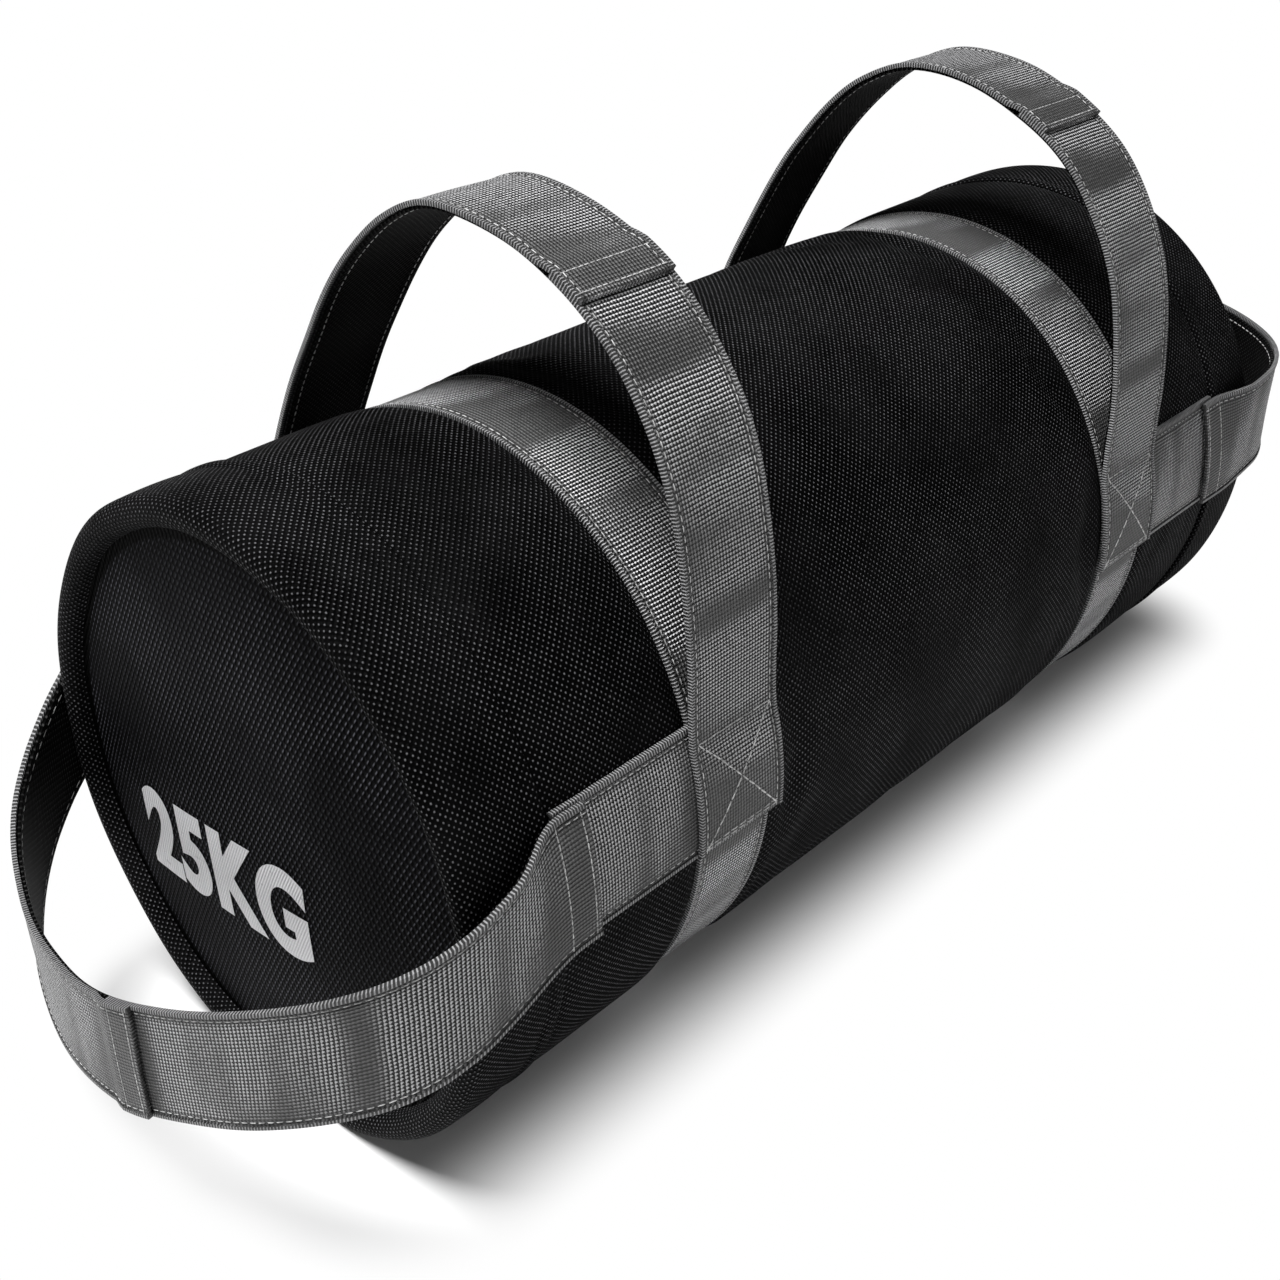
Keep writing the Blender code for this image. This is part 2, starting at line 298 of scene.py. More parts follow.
def place_group(tree, group, **values):
    item = tree.nodes.new("ShaderNodeGroup")
    item.node_tree = group
    for label, value in values.items():
        item.inputs[label.replace("_", " ").capitalize()].default_value = value
    return item.outputs


def sine_wave(tree, value, turn, shift):
    """A wave that runs with the value, turn radians for each metre, moved by shift."""
    return calculate(tree, "SINE", calculate(tree, "MULTIPLY_ADD", value, turn, shift))


def loose_fibres(tree, place, scale, detail, size):
    """Fine noise, as much below 0 as above it."""
    fine = noise(tree, place, scale, detail)
    return calculate(tree, "MULTIPLY_ADD", fine, size, -size / 2)


def dull_areas(tree, place, mask, scale, detail, low, least):
    """The mask, weakened in broad areas down to the least share of it."""
    lively = soft_step(tree, noise(tree, place, scale, detail), low, lively_level)
    lively = calculate(tree, "MULTIPLY_ADD", lively, 1.0 - least, least)
    return calculate(tree, "MULTIPLY", mask, lively)


print("helpers: open_group, close_group, place_group, sine_wave, loose_fibres, dull_areas")

# %% [markdown]
# ** Plain weave.** The shell is a coarse ballistic nylon. Yarns cross over and under, so the
# surface is a chequer of small rounded floats that catch the light as staggered dots, and the
# gaps between them are nearly black. The product of two sine waves is exactly such a chequer.
# Noise bends the yarns a little. The dots are a painted highlight: their mask makes the float
# tops pale in the colour, and whole areas of this painted highlight are duller than others.

# %% Plain weave group
def build_plain_weave():
    group, given = open_group("plain_weave", {"Yarn": 0.002, "Wander": 0.9})
    across, along = flat_place(group)
    place = object_place(group)
    shift = calculate(group, "SUBTRACT", noise(group, place, 95.0, 3.0), 0.5)
    shift = calculate(group, "MULTIPLY", shift, given["Wander"])
    turn = calculate(group, "DIVIDE", math.pi, given["Yarn"])
    warp = sine_wave(group, across, turn, shift)
    weft = sine_wave(group, along, turn, shift)
    floats = calculate(group, "MULTIPLY", warp, weft)
    rough = loose_fibres(group, place, 620.0, 2.0, 0.9)
    height = calculate(group, "MULTIPLY_ADD", floats, 0.8, rough)
    # Painted highlight: the float tops become pale dots in the colour, standing in for their
    # glint.
    dots = soft_step(group, calculate(group, "ADD", floats, rough), 0.50, 1.05)
    slim = soft_step(group, calculate(group, "ABSOLUTE", warp), 0.45, 0.95)
    dots = calculate(group, "MULTIPLY", dots, slim)
    dots = dull_areas(group, place, dots, 24.0, 4.0, 0.30, 0.35)
    return close_group(group, {"Height": height, "Float highlights": dots})


plain_weave = build_plain_weave()

# %% [markdown]
# **Twill.** The end panels are a finer cloth whose floats step sideways from row to row, which
# draws diagonal ribs. A wave that runs diagonally gives the ribs, and a second one, set along
# each rib, cuts it into short dashes.

# %% Twill group
rib_angle = math.radians(57.0)


def build_twill():
    group, given = open_group("twill", {"Rib": 0.0024, "Dash": 0.0030})
    across, along = flat_place(group)
    place = object_place(group)
    cosine, sine = math.cos(rib_angle), math.sin(rib_angle)
    over = calculate(group, "MULTIPLY_ADD", along, -cosine,
                     calculate(group, "MULTIPLY", across, sine))
    down = calculate(group, "MULTIPLY_ADD", along, sine,
                     calculate(group, "MULTIPLY", across, cosine))
    shift = calculate(group, "MULTIPLY", noise(group, place, 34.0, 2.0), 2.2)
    rib_turn = calculate(group, "DIVIDE", math.tau, given["Rib"])
    dash_turn = calculate(group, "DIVIDE", math.tau, given["Dash"])
    rib_phase = calculate(group, "MULTIPLY_ADD", over, rib_turn, shift)
    rib = calculate(group, "SINE", rib_phase)
    dash = sine_wave(group, down, dash_turn, calculate(group, "MULTIPLY", rib_phase, 0.5))
    rough = loose_fibres(group, place, 700.0, 2.0, 0.9)
    height = calculate(group, "MULTIPLY_ADD", dash, 0.45, calculate(group, "ADD", rib, rough))
    # Painted highlight: the rib tops, cut into dashes, are made pale in the colour.
    top = soft_step(group, calculate(group, "MULTIPLY_ADD", rough, 0.6, rib), 0.45, 1.1)
    cut = soft_step(group, calculate(group, "ADD", dash, rough), -0.55, 0.75)
    cut = calculate(group, "MULTIPLY_ADD", cut, 0.93, 0.07)
    cut = dull_areas(group, place, cut, 20.0, 3.0, 0.36, 0.3)
    floats = calculate(group, "MULTIPLY", top, cut)
    return close_group(group, {"Height": height, "Float highlights": floats})


twill = build_twill()

# %% [markdown]
# ** Webbing.** Woven strap has fine ribs straight across it, each a little wavy, because the
# long yarns pass over and under the cross yarns in turn. Each long side ends in a thin rolled
# rim, with a sunken line next to it where the strap is sewn. The yarns are glossy, so whole
# stretches of a strap show sharp bright ribs over dark gaps, and others look smooth and dull;
# this sheen, the pale rib tops and the dark gaps are painted highlight and shade. The group
# gives the ribs, a mask for the rim, one for the sunken line, whose darkness is painted shade,
# and one for the painted gloss.

# %% Webbing group
rim_turn = 5200.0
rim_blur = 0.0002
groove_blur = 0.0006


def build_webbing_ribs():
    group, given = open_group("webbing_ribs", {"Rib": 0.00148, "Yarn": 0.0015, "Edge": 0.0017,
                                               "Half width": 0.0225, "Groove": 0.0046})
    across, along = flat_place(group)
    place = object_place(group)
    yarn_turn = calculate(group, "DIVIDE", math.tau, given["Yarn"])
    rib_turn = calculate(group, "DIVIDE", math.tau, given["Rib"])
    wander = calculate(group, "MULTIPLY", noise(group, place, 30.0, 2.0), 6.0)
    yarn = sine_wave(group, across, yarn_turn, wander)
    rib = sine_wave(group, along, rib_turn, calculate(group, "MULTIPLY_ADD", yarn, 0.5, wander))

    inset = calculate(group, "SUBTRACT", given["Half width"],
                      calculate(group, "ABSOLUTE", across))
    rim = soft_step(group, calculate(group, "SUBTRACT", given["Edge"], inset),
                    -rim_blur, rim_blur)
    line = soft_step(group, calculate(group, "SUBTRACT", given["Groove"], inset),
                     0.0, groove_blur)
    line = calculate(group, "MULTIPLY", line, calculate(group, "SUBTRACT", 1.0, rim))

    flat = add_node(group, "CombineXYZ", {0: calculate(group, "MULTIPLY", across, 7.0),
                                          1: calculate(group, "MULTIPLY", along, 24.0),
                                          2: given["Half width"]})
    # Painted sheen: this mask marks broad stretches where the rib tops are painted brighter and
    # the gaps darker; it also shapes the relief.
    gloss = soft_step(group, noise(group, flat.outputs[0], 1.0, 2.0), 0.41, 0.55)
    cross = calculate(group, "MULTIPLY_ADD", gloss, 0.55, 0.35)
    ribs = calculate(group, "MULTIPLY_ADD", calculate(group, "MULTIPLY", yarn, cross), 0.9, rib)
    lengthways = calculate(group, "MULTIPLY_ADD", rib, 0.25, yarn)
    smooth = calculate(group, "MULTIPLY", calculate(group, "SUBTRACT", 1.0, gloss), 0.75)
    woven = add_node(group, "Mix", {0: smooth, 2: ribs, 3: lengthways}, data_type="FLOAT")
    tight = sine_wave(group, along, rim_turn, wander)
    woven = add_node(group, "Mix", {0: rim, 2: woven.outputs[0], 3: tight}, data_type="FLOAT")

    rough = loose_fibres(group, place, 700.0, 3.0, 1.3)
    height = calculate(group, "ADD", woven.outputs[0], rough)
    # The rib mask paints highlight on the rib tops and shade in the gaps, and the sunken line's
    # mask paints shade beside the stitching.
    return close_group(group, {
        "Height": calculate(group, "MULTIPLY_ADD", line, -1.2, height),
        "Rib shading": soft_step(group, height, -0.15, 0.75),
        "Rim": rim, "Sunken line": line, "Painted gloss": gloss})


webbing_ribs = build_webbing_ribs()

# %% [markdown]
# **Use and dust.** No cloth that lies on a gym floor is one even tone. Broad patches are a
# little paler where hands and floors have rubbed it, and fine specks of lint and sand dust sit
# in the weave.

# %% Wear group
def build_wear():
    group, given = open_group("wear", {"Patch scale": 14.0, "Speck scale": 260.0})
    place = object_place(group)
    broad = noise(group, place, given["Patch scale"], 4.0, Roughness=0.6)
    fine = noise(group, place, given["Speck scale"], 2.0)
    return close_group(group, {"Patches": soft_step(group, broad, 0.36, 0.68),
                               "Specks": soft_step(group, fine, 0.66, 0.78)})


wear = build_wear()

# %% [markdown]
# The materials mix two or three tones with these masks, and the height feeds a Bump node. The
# bump distance is about the real depth of the weave.

# %% Build a cloth material
seam_shade = (0.0030, 0.0016)


def start_material(name, roughness, sheen=0.0, specular=0.5):
    material = bpy.data.materials.new(name)
    material.use_nodes = True
    shader = material.node_tree.nodes["Principled BSDF"]
    shader.inputs["Roughness"].default_value = roughness
    shader.inputs["Sheen Weight"].default_value = sheen
    shader.inputs["Sheen Roughness"].default_value = 0.45
    shader.inputs["Specular IOR Level"].default_value = specular
    return material, material.node_tree, shader


def finish_material(tree, shader, colour, height, depth):
    """Link the colour, and the height as a relief of this depth."""
    tree.links.new(colour, shader.inputs["Base Color"])
    bump = add_node(tree, "Bump", {"Height": height, "Distance": depth, "Strength": 1.0})
    tree.links.new(bump.outputs[0], shader.inputs["Normal"])


def mix_colour(tree, mask, low, high, strength=None):
    """Colour low where the mask is 0 and high where it is 1, or as much of it as strength."""
    if strength is not None:
        mask = calculate(tree, "MULTIPLY", mask, strength)
    item = add_node(tree, "Mix", {0: mask, 6: low, 7: high}, data_type="RGBA")
    return item.outputs[2]


def grey(value, blue=1.0):
    return (value, value, value * blue, 1.0)


def cloth_material(name, pattern, values, dark, light, depth, seam_radius=None):
    """A woven black cloth: nearly no light between the floats, and a painted highlight of dull
    gloss on top of them.

    A round piece that is sewn in at seam_radius is painted black where it goes into the seam:
    painted shade in the groove.
    """
    material, tree, shader = start_material(name, 0.60, specular=0.025)
    weave = place_group(tree, pattern, **values)
    used = place_group(tree, wear)
    # Painted highlight: the float tops of the weave are painted in the pale colour.
    colour = mix_colour(tree, weave["Float highlights"], dark, light)
    worn = (*(part * 0.5 for part in light[:3]), 1.0)
    colour = mix_colour(tree, used["Patches"], colour, worn, 0.05)
    colour = mix_colour(tree, used["Specks"], colour, grey(0.20), 0.02)
    if seam_radius:
        across, along = flat_place(tree)
        flat = add_node(tree, "CombineXYZ", {0: across, 1: along})
        radius = add_node(tree, "VectorMath", {0: flat.outputs[0]}, operation="LENGTH")
        seam = soft_step(tree, radius.outputs["Value"],
                         *(seam_radius - inset for inset in seam_shade))
        # Painted shade: the panel turns black where it dives into the seam's groove.
        colour = mix_colour(tree, seam, colour, grey(0.0))
    finish_material(tree, shader, colour, weave["Height"], depth)
    return material


shell_nylon = cloth_material("shell_cloth", plain_weave, {"yarn": 0.0013}, grey(0.0008, 1.05),
                             grey(0.170, 1.05), 0.00030)
panel_nylon = cloth_material("panel_cloth", twill, {"rib": 0.0021, "dash": 0.0029},
                             grey(0.0006, 1.30), grey(0.120, 1.15), 0.00022,
                             seam_radius=panel_radius)
lining_nylon = cloth_material("lining_cloth", plain_weave, {"yarn": 0.0012, "wander": 0.5},
                              grey(0.0010), grey(0.060), 0.00016)
print("materials:", shell_nylon.name, panel_nylon.name, lining_nylon.name)

# %% [markdown]
# The same webbing is used three times, in a width and a tone of its own each time. Its tones
# depend on the painted gloss: where the yarns shine, the ribs are painted brighter and the gaps
# between them darker, as a painted sheen. The thread is a paler grey, which changes from stitch
# to stitch.

# %% The webbing and thread materials
webbing_depth = 0.00026


def webbing_material(name, half_width, tone=1.0):
    """Grey strap: rib tops painted pale and gaps dark as painted highlight and shade, strongest
    where the painted gloss is; its rim a shade paler; painted shade in its sewn line.
    """
    material, tree, shader = start_material(name, 0.42, specular=0.35)
    ribs = place_group(tree, webbing_ribs, half_width=half_width)
    used = place_group(tree, wear, patch_scale=17.0)
    # Painted sheen: where the gloss mask is high, the rib tops are painted brighter and the gaps
    # darker.
    pale = mix_colour(tree, ribs["Painted gloss"], grey(0.135 * tone), grey(0.74 * tone, 1.02))
    deep = mix_colour(tree, ribs["Painted gloss"], grey(0.038 * tone), grey(0.004 * tone))
    # Painted highlight and shade: rib tops pale and gaps dark, on the strap and on its rim.
    colour = mix_colour(tree, ribs["Rib shading"], deep, pale)
    whipped = mix_colour(tree, ribs["Rib shading"], grey(0.050 * tone), grey(0.42 * tone, 1.02))
    colour = mix_colour(tree, ribs["Rim"], colour, whipped, 0.85)
    # Painted shade: the sunken line beside the stitching is painted darker.
    colour = mix_colour(tree, ribs["Sunken line"], colour, grey(0.030), 0.75)
    colour = mix_colour(tree, used["Specks"], colour, grey(0.5), 0.05)
    finish_material(tree, shader, colour, ribs["Height"], webbing_depth)
    return material


def thread_material(name, low, high):
    """Sewing thread: a twisted gloss that changes from stitch to stitch."""
    material, tree, shader = start_material(name, 0.45, sheen=0.2)
    tone = noise(tree, object_place(tree), 420.0, 1.0)
    colour = mix_colour(tree, soft_step(tree, tone, 0.35, 0.65), low, high)
    tree.links.new(colour, shader.inputs["Base Color"])
    return material


handle_webbing = webbing_material("handle_webbing", handle_width / 2)
loop_webbing = webbing_material("loop_webbing", loop_width / 2, tone=0.94)
band_webbing = webbing_material("band_webbing", band_width / 2, tone=1.28)
grey_thread = thread_material("grey_thread", grey(0.36), grey(0.72))
print("materials:", handle_webbing.name, loop_webbing.name, band_webbing.name, grey_thread.name)

# %% [markdown]
# ## Cutting webbing
# A strap starts as a grid, as long and wide as the real strip. Solidify gives it its thickness,
# the outer column on each long side is extruded up as the bound edge, and Bevel rounds what is
# left sharp. It is still flat then, which is when its UV map is written.

# %% Cut a flat strap
webbing_columns = 26
row_length = 0.0035
edge_rise = 0.00045
edge_round = 0.00035


def cut_flat(name, width, length, columns, rows):
    """A flat grid from -width/2 to width/2 across and from 0 to length along."""
    deselect_all()
    bpy.ops.mesh.primitive_grid_add(x_subdivisions=columns, y_subdivisions=rows, size=1.0,
                                    location=(0.0, length / 2, 0.0))
    piece = bpy.context.object
    piece.name = name
    piece.data.name = name
    piece.scale = (width, length, 1.0)
    bpy.ops.object.transform_apply(location=True, rotation=False, scale=True)
    return piece


def raise_edges(piece, width):
    """Extrude the top faces of the outer column on each long side."""
    edge_line = width / 2 - width / webbing_columns
    bpy.ops.object.mode_set(mode="EDIT")
    bpy.ops.mesh.select_all(action="DESELECT")
    bpy.ops.mesh.select_mode(type="FACE")
    shape = bmesh.from_edit_mesh(piece.data)
    for face in shape.faces:
        middle = face.calc_center_median()
        face.select_set(abs(middle.x) > edge_line and face.normal.z > 0.9)
    bmesh.update_edit_mesh(piece.data)
    bpy.ops.mesh.extrude_region_move(TRANSFORM_OT_translate={"value": (0.0, 0.0, edge_rise)})
    bpy.ops.object.mode_set(mode="OBJECT")


def cut_strap(name, width, length, thickness, bound=True):
    rows = max(2, round(length / row_length))
    piece = cut_flat(name, width, length, webbing_columns, rows)
    apply_modifier(piece, "SOLIDIFY", thickness=thickness, offset=1.0)
    if bound:
        raise_edges(piece, width)
    apply_modifier(piece, "BEVEL", width=edge_round, segments=2, limit_method="ANGLE",
                   angle_limit=math.radians(40.0))
    write_flat_uv(piece)
    return piece


print("helpers: cut_flat, raise_edges, cut_strap")

# %% [markdown]
# ## Sewing
# A machine lays a row of separate stitches, each a short arc of thread that dips into the cloth
# at both ends. One stitch is modelled from a sphere with few faces, with its ends made blunt.

# %% One stitch
stitch_length = 0.0027
thread_width = 0.00052
stitch_raise = thread_width * 0.05
stitch_dip = thread_width * 0.40


def model_stitch():
    """The corners and faces of one stitch that lies along Y, and how far each corner sinks."""
    deselect_all()
    bpy.ops.mesh.primitive_uv_sphere_add(segments=6, ring_count=5, radius=0.5,
                                         rotation=(math.radians(90.0), 0.0, 0.0))
    stitch = bpy.context.object
    bpy.ops.object.transform_apply(location=False, rotation=True, scale=False)
    stitch.scale = (thread_width, stitch_length, thread_width)
    bpy.ops.object.transform_apply(location=False, rotation=False, scale=True)
    corners = corner_places(stitch)
    faces = [tuple(face.vertices) for face in stitch.data.polygons]
    bpy.data.objects.remove(stitch, do_unlink=True)
    share = corners[:, 1] / (stitch_length / 2)
    share = np.sign(share) * np.sqrt(np.abs(share))
    corners[:, 1] = share * stitch_length / 2
    corners[:, 2] += stitch_raise
    return corners, faces, stitch_dip * share ** 2


stitch_corners, stitch_faces, stitch_sink = model_stitch()
print("stitch:", len(stitch_faces), "faces")

# %% [markdown]
# The stitch is then repeated along each row in flat coordinates, and all the stitches of a piece
# are laid with the same surface as the webbing below them. A long stitch is of thicker thread.

# %% Rows of stitches
stitch_pitch = 0.0034
stitch_inset = 0.0032
stitch_sway = 0.05
thickening = 0.55


def stitch_row(start, end, pitch=stitch_pitch, stretch=1.0):
    """Place, heading and stretch of each stitch from one flat point to another."""
    start, end = np.array(start, float), np.array(end, float)
    length = float(np.linalg.norm(end - start))
    count = max(1, round(length / pitch))
    heading = math.atan2(end[1] - start[1], end[0] - start[0]) - math.pi / 2
    middles = start + (end - start) * ((np.arange(count) + 0.5) / count)[:, None]
    return [(across, along, heading, stretch) for across, along in middles]


def edge_rows(start, end, width, inset=stitch_inset):
    line = width / 2 - inset
    return [stitch_row((side * line, start), (side * line, end)) for side in (-1, 1)]


def sew(name, rows, surface, lift, material):
    """All the stitches of these rows as one piece, laid on a surface at this lift."""
    places = [place for row in rows for place in row]
    corners = []
    faces = []
    for index, (across, along, heading, stretch) in enumerate(places):
        turned = heading + stitch_sway * math.sin(index * 2.4)
        cosine, sine = math.cos(turned), math.sin(turned)
        thick = 1.0 + (stretch - 1.0) * thickening
        width = stitch_corners[:, 0] * thick
        length = stitch_corners[:, 1] * stretch
        x = width * cosine - length * sine + across
        y = width * sine + length * cosine + along
        height = stitch_corners[:, 2] * thick - stitch_sink / stretch ** 3 + lift
        corners.append(np.column_stack((x, y, height)))
        first = index * len(stitch_corners)
        faces += [tuple(first + corner for corner in face) for face in stitch_faces]
    mesh = bpy.data.meshes.new(name)
    mesh.from_pydata(np.concatenate(corners).tolist(), [], faces)
    piece = bpy.data.objects.new(name, mesh)
    bpy.context.scene.collection.objects.link(piece)
    lay(piece, surface)
    finish_cloth(piece, material, 80.0)
    print(name, len(places), "stitches")
    return piece


print("helpers: stitch_row, edge_rows, sew")

# %% [markdown]
# ## The main shell
# The shell is one sheet of nylon sewn into a tube. It is cut flat here, rolled round the bag and
# closed along the underside. It starts with a hint of swell in each span, drawn in under the
# webbing. The sand's push comes from a cloth simulation after that.

# %% Roll the main shell
shell_columns = 96
shell_rows = 144
span_swell = 0.0008
end_swell_share = 0.7
tuck_length = 0.010
pinch_radius = bag_radius - webbing_thickness - layer_gap
pinch_ramp = 0.0030
shell_unevenness = 0.00040


def shell_radius(place):
    """Outer radius of the shell along the bag: swollen spans, drawn in under the bands."""
    x = np.abs(place)
    band_inner = band_place - band_width / 2
    band_outer = band_place + band_width / 2
    middle_span = np.clip(1.0 - (x / band_inner) ** 2, 0.0, 1.0) ** 0.6
    end_span = np.clip((x - band_outer) * (seam_place - x), 0.0, None)
    end_span = np.sqrt(end_span) / ((seam_place - band_outer) / 2)
    swell = span_swell * np.where(x < band_inner, middle_span, end_swell_share * end_span)
    under = ease((band_width / 2 + pinch_ramp - np.abs(x - band_place)) / pinch_ramp)
    return bag_radius + swell - (bag_radius - pinch_radius) * under


def shell_surface(across, along, lift):
    angle = -along / bag_radius - math.pi / 2
    radius = shell_radius(across) + lift
    radius = radius + shell_unevenness * uneven_round(across, along, 0.030, 1.0)
    return on_bag(across, angle, radius)


def build_shell():
    length = 2 * (seam_place + tuck_length)
    shell = cut_flat("main_shell_cloth", length, girth, shell_columns, shell_rows)
    write_flat_uv(shell)
    lay(shell, shell_surface)
    merge_corners(shell, 0.0001)
    return shell


main_shell = build_shell()
print("rolled shell:", len(main_shell.data.vertices), "corners")

# %% [markdown]
# The bands, the end seams and the stubs hold the cloth down, and between them it is free. With
# a little pressure from inside and a little slack, twenty frames of cloth simulation push it out
# the way packed sand does. How far a point may go is capped, and the underside stays on the
# floor. The same start gives the same result each time.

# %% Fill the shell
fill_frames = 20
fill_pressure = 4.0
fill_slack = 0.012
fill_reach = 0.0024
floor_hold = (0.002, 0.020)


def held_down(places):
    """True where a band, an end seam or a stub presses on the cloth."""
    x = np.abs(places[:, 0])
    height = places[:, 2] - axis_height - loop_height
    band = np.abs(x - band_place) < band_width / 2 + 0.002
    seam = x > seam_place - 0.002
    strap = (x > band_place) & (np.abs(height) < loop_width / 2 + 0.001)
    return band | seam | strap


def push_out(shell, start):
    """Run the cloth simulation from its first frame and apply where it ends."""
    held = shell.vertex_groups.new(name="held")
    held.add(np.flatnonzero(held_down(start)).tolist(), 1.0, "REPLACE")
    make_active(shell)
    cloth = shell.modifiers.new("filling", "CLOTH")
    cloth.point_cache.frame_start = 1
    cloth.point_cache.frame_end = fill_frames
    cloth.collision_settings.use_collision = False
    settings = cloth.settings
    settings.quality = 5
    settings.vertex_group_mass = held.name
    settings.use_pressure = True
    settings.uniform_pressure_force = fill_pressure
    settings.shrink_min = -fill_slack
    settings.bending_stiffness = 2.0
    settings.effector_weights.gravity = 0.0
    for moment in range(1, fill_frames + 1):
        bpy.context.scene.frame_set(moment)
    bpy.ops.object.modifier_apply(modifier=cloth.name)
    bpy.context.scene.frame_set(1)
    shell.vertex_groups.clear()


def fill_with_sand(shell):
    start = corner_places(shell)
    push_out(shell, start)
    move = corner_places(shell) - start
    length = np.linalg.norm(move, axis=1)[:, None]
    move *= fill_reach * np.tanh(length / fill_reach) / np.maximum(length, 1e-9)
    move *= ease((start[:, 2] - floor_hold[0]) / floor_hold[1])[:, None]
    move_corners(shell, start + move)
    print(f"filled: pushed {length.max() * 1000:.1f} mm, kept {np.abs(move).max() * 1000:.1f} mm")


fill_with_sand(main_shell)
apply_modifier(main_shell, "SUBSURF", levels=1, render_levels=1)
finish_cloth(main_shell, shell_nylon)
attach(main_shell, "bag")
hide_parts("main_shell")
print("main shell:", len(main_shell.data.polygons), "faces")

# %% [markdown]
# ## The end sleeves
# Each end is closed by a separate sleeve. It laps over the shell with a folded hem, runs to the
# end, rolls over as a soft rim and dives into a groove round the panel. Its section is drawn as
# a chain of points and rolled round the bag like the shell, with the roll as an arc.

# %% Roll the end sleeves
rim_radius = 0.0055
rim_depth = 0.0088
rim_steps = 12
groove_width = 0.0020
hem_width = 0.0065
hem_rise = 0.0007
sleeve_unevenness = 0.0005


def sleeve_profile():
    """(place, radius) along the sleeve's outer face, from its hem to inside the groove."""
    hem = [(seam_place, bag_radius - 0.0002), (seam_place - 0.0002, bag_radius + 0.0012),
           (seam_place + 0.0006, sleeve_radius + hem_rise * 0.85),
           (seam_place + 0.0022, sleeve_radius + hem_rise),
           (seam_place + hem_width - 0.0012, sleeve_radius + hem_rise * 0.8),
           (seam_place + hem_width, sleeve_radius - 0.0004)]
    side = [(seam_place + hem_width + 0.0022, sleeve_radius),
            (seam_place + 0.016, sleeve_radius + 0.0003),
            (seam_place + 0.024, sleeve_radius + 0.0003)]
    roll = []
    for index in range(rim_steps + 1):
        turn = math.radians(90.0 - 180.0 / rim_steps * index)
        roll.append((half_length - rim_radius + rim_radius * math.cos(turn),
                     sleeve_radius - rim_radius + rim_radius * math.sin(turn)))
    inner = roll.pop()[1]
    foot = [(half_length - rim_depth, inner - 0.0003),
            (half_length - rim_depth - 0.0003, inner - groove_width * 2.5)]
    return np.array(hem + side + roll + foot)


def lengths_along(points):
    """The length from the first point to each point of a chain."""
    return np.concatenate(([0.0], np.cumsum(np.linalg.norm(np.diff(points, axis=0), axis=1))))


def build_sleeve(end_name, end_side):
    profile = sleeve_profile()
    steps = lengths_along(profile)
    count = len(profile) - 1
    sleeve = cut_flat(f"{end_name}_sleeve_cloth", 1.0, girth, count, shell_rows)

    def stretch(across, along, lift):
        column = np.rint((across + 0.5) * count).astype(int)
        return np.column_stack((steps[column], along, lift))

    def surface(across, along, lift):
        place = np.interp(across, steps, profile[:, 0])
        radius = np.interp(across, steps, profile[:, 1])
        angle = -end_side * (along / bag_radius) - math.pi / 2
        wobble = sleeve_unevenness * uneven_round(across, along, 0.024, 3.0 + end_side)
        return on_bag(end_side * place, angle, radius + wobble * ease(across / 0.02))

    lay(sleeve, stretch)
    write_flat_uv(sleeve)
    lay(sleeve, surface)
    merge_corners(sleeve, 0.00005)
    apply_modifier(sleeve, "SUBSURF", levels=1, render_levels=1)
    finish_cloth(sleeve, shell_nylon, 60.0)
    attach(sleeve, "bag")
    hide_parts(f"{end_name}_end_sleeve")
    print(sleeve.name, len(sleeve.data.polygons), "faces")


for end_name, end_side in ends:
    build_sleeve(end_name, end_side)

# %% [markdown]
# ## The end panels
# A round panel is sewn in behind the rim and bulges a little from the filling. A filled circle
# is inset ring by ring, as one would by hand, and its rings are then lifted into a dome. The
# cloth is twill, and its UV map is the flat round blank.

# %% Inset and dome the end panels
panel_rings = 22
panel_corners = 144
panel_dome = 0.0055
panel_dent = 0.0006
panel_blank = panel_radius + 0.004
panel_floor = 0.0035


def panel_place(end_side, across, along):
    """How far out along the bag a flat point of the panel lies: a dome with soft dents."""
    radius = np.hypot(across, along)
    dome = panel_dome * (1.0 - np.clip(radius / panel_radius, 0.0, 1.0) ** 2.4)
    dent = panel_dent * uneven(across, along, 0.034, 5.0 + end_side)
    return panel_high.x - panel_dome + dome + dent * (1.0 - radius / panel_blank)


def build_panel(end_name, end_side):
    deselect_all()
    bpy.ops.mesh.primitive_circle_add(vertices=panel_corners, radius=panel_blank,
                                      fill_type="NGON")
    panel = bpy.context.object
    panel.name = f"{end_name}_panel_cloth"
    bpy.ops.object.mode_set(mode="EDIT")
    bpy.ops.mesh.select_mode(type="FACE")
    bpy.ops.mesh.select_all(action="SELECT")
    for _ in range(panel_rings):
        bpy.ops.mesh.inset(thickness=panel_blank / (panel_rings + 1.5))
    bpy.ops.object.mode_set(mode="OBJECT")
    write_flat_uv(panel)

    def surface(across, along, lift):
        z = np.maximum(axis_height + height_share * along, panel_floor)
        return np.column_stack((end_side * panel_place(end_side, across, along),
                                end_side * across, z))

    lay(panel, surface)
    finish_cloth(panel, panel_nylon, 60.0)
    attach(panel, "bag")
    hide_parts(f"{end_name}_end_panel")
    print(panel.name, len(panel.data.polygons), "faces")


for end_name, end_side in ends:
    build_panel(end_name, end_side)

# %% [markdown]
# ## The webbing bands
# Each band is a strap as long as the bag's girth, laid round it and joined underneath. Both its
# edges are sewn down.

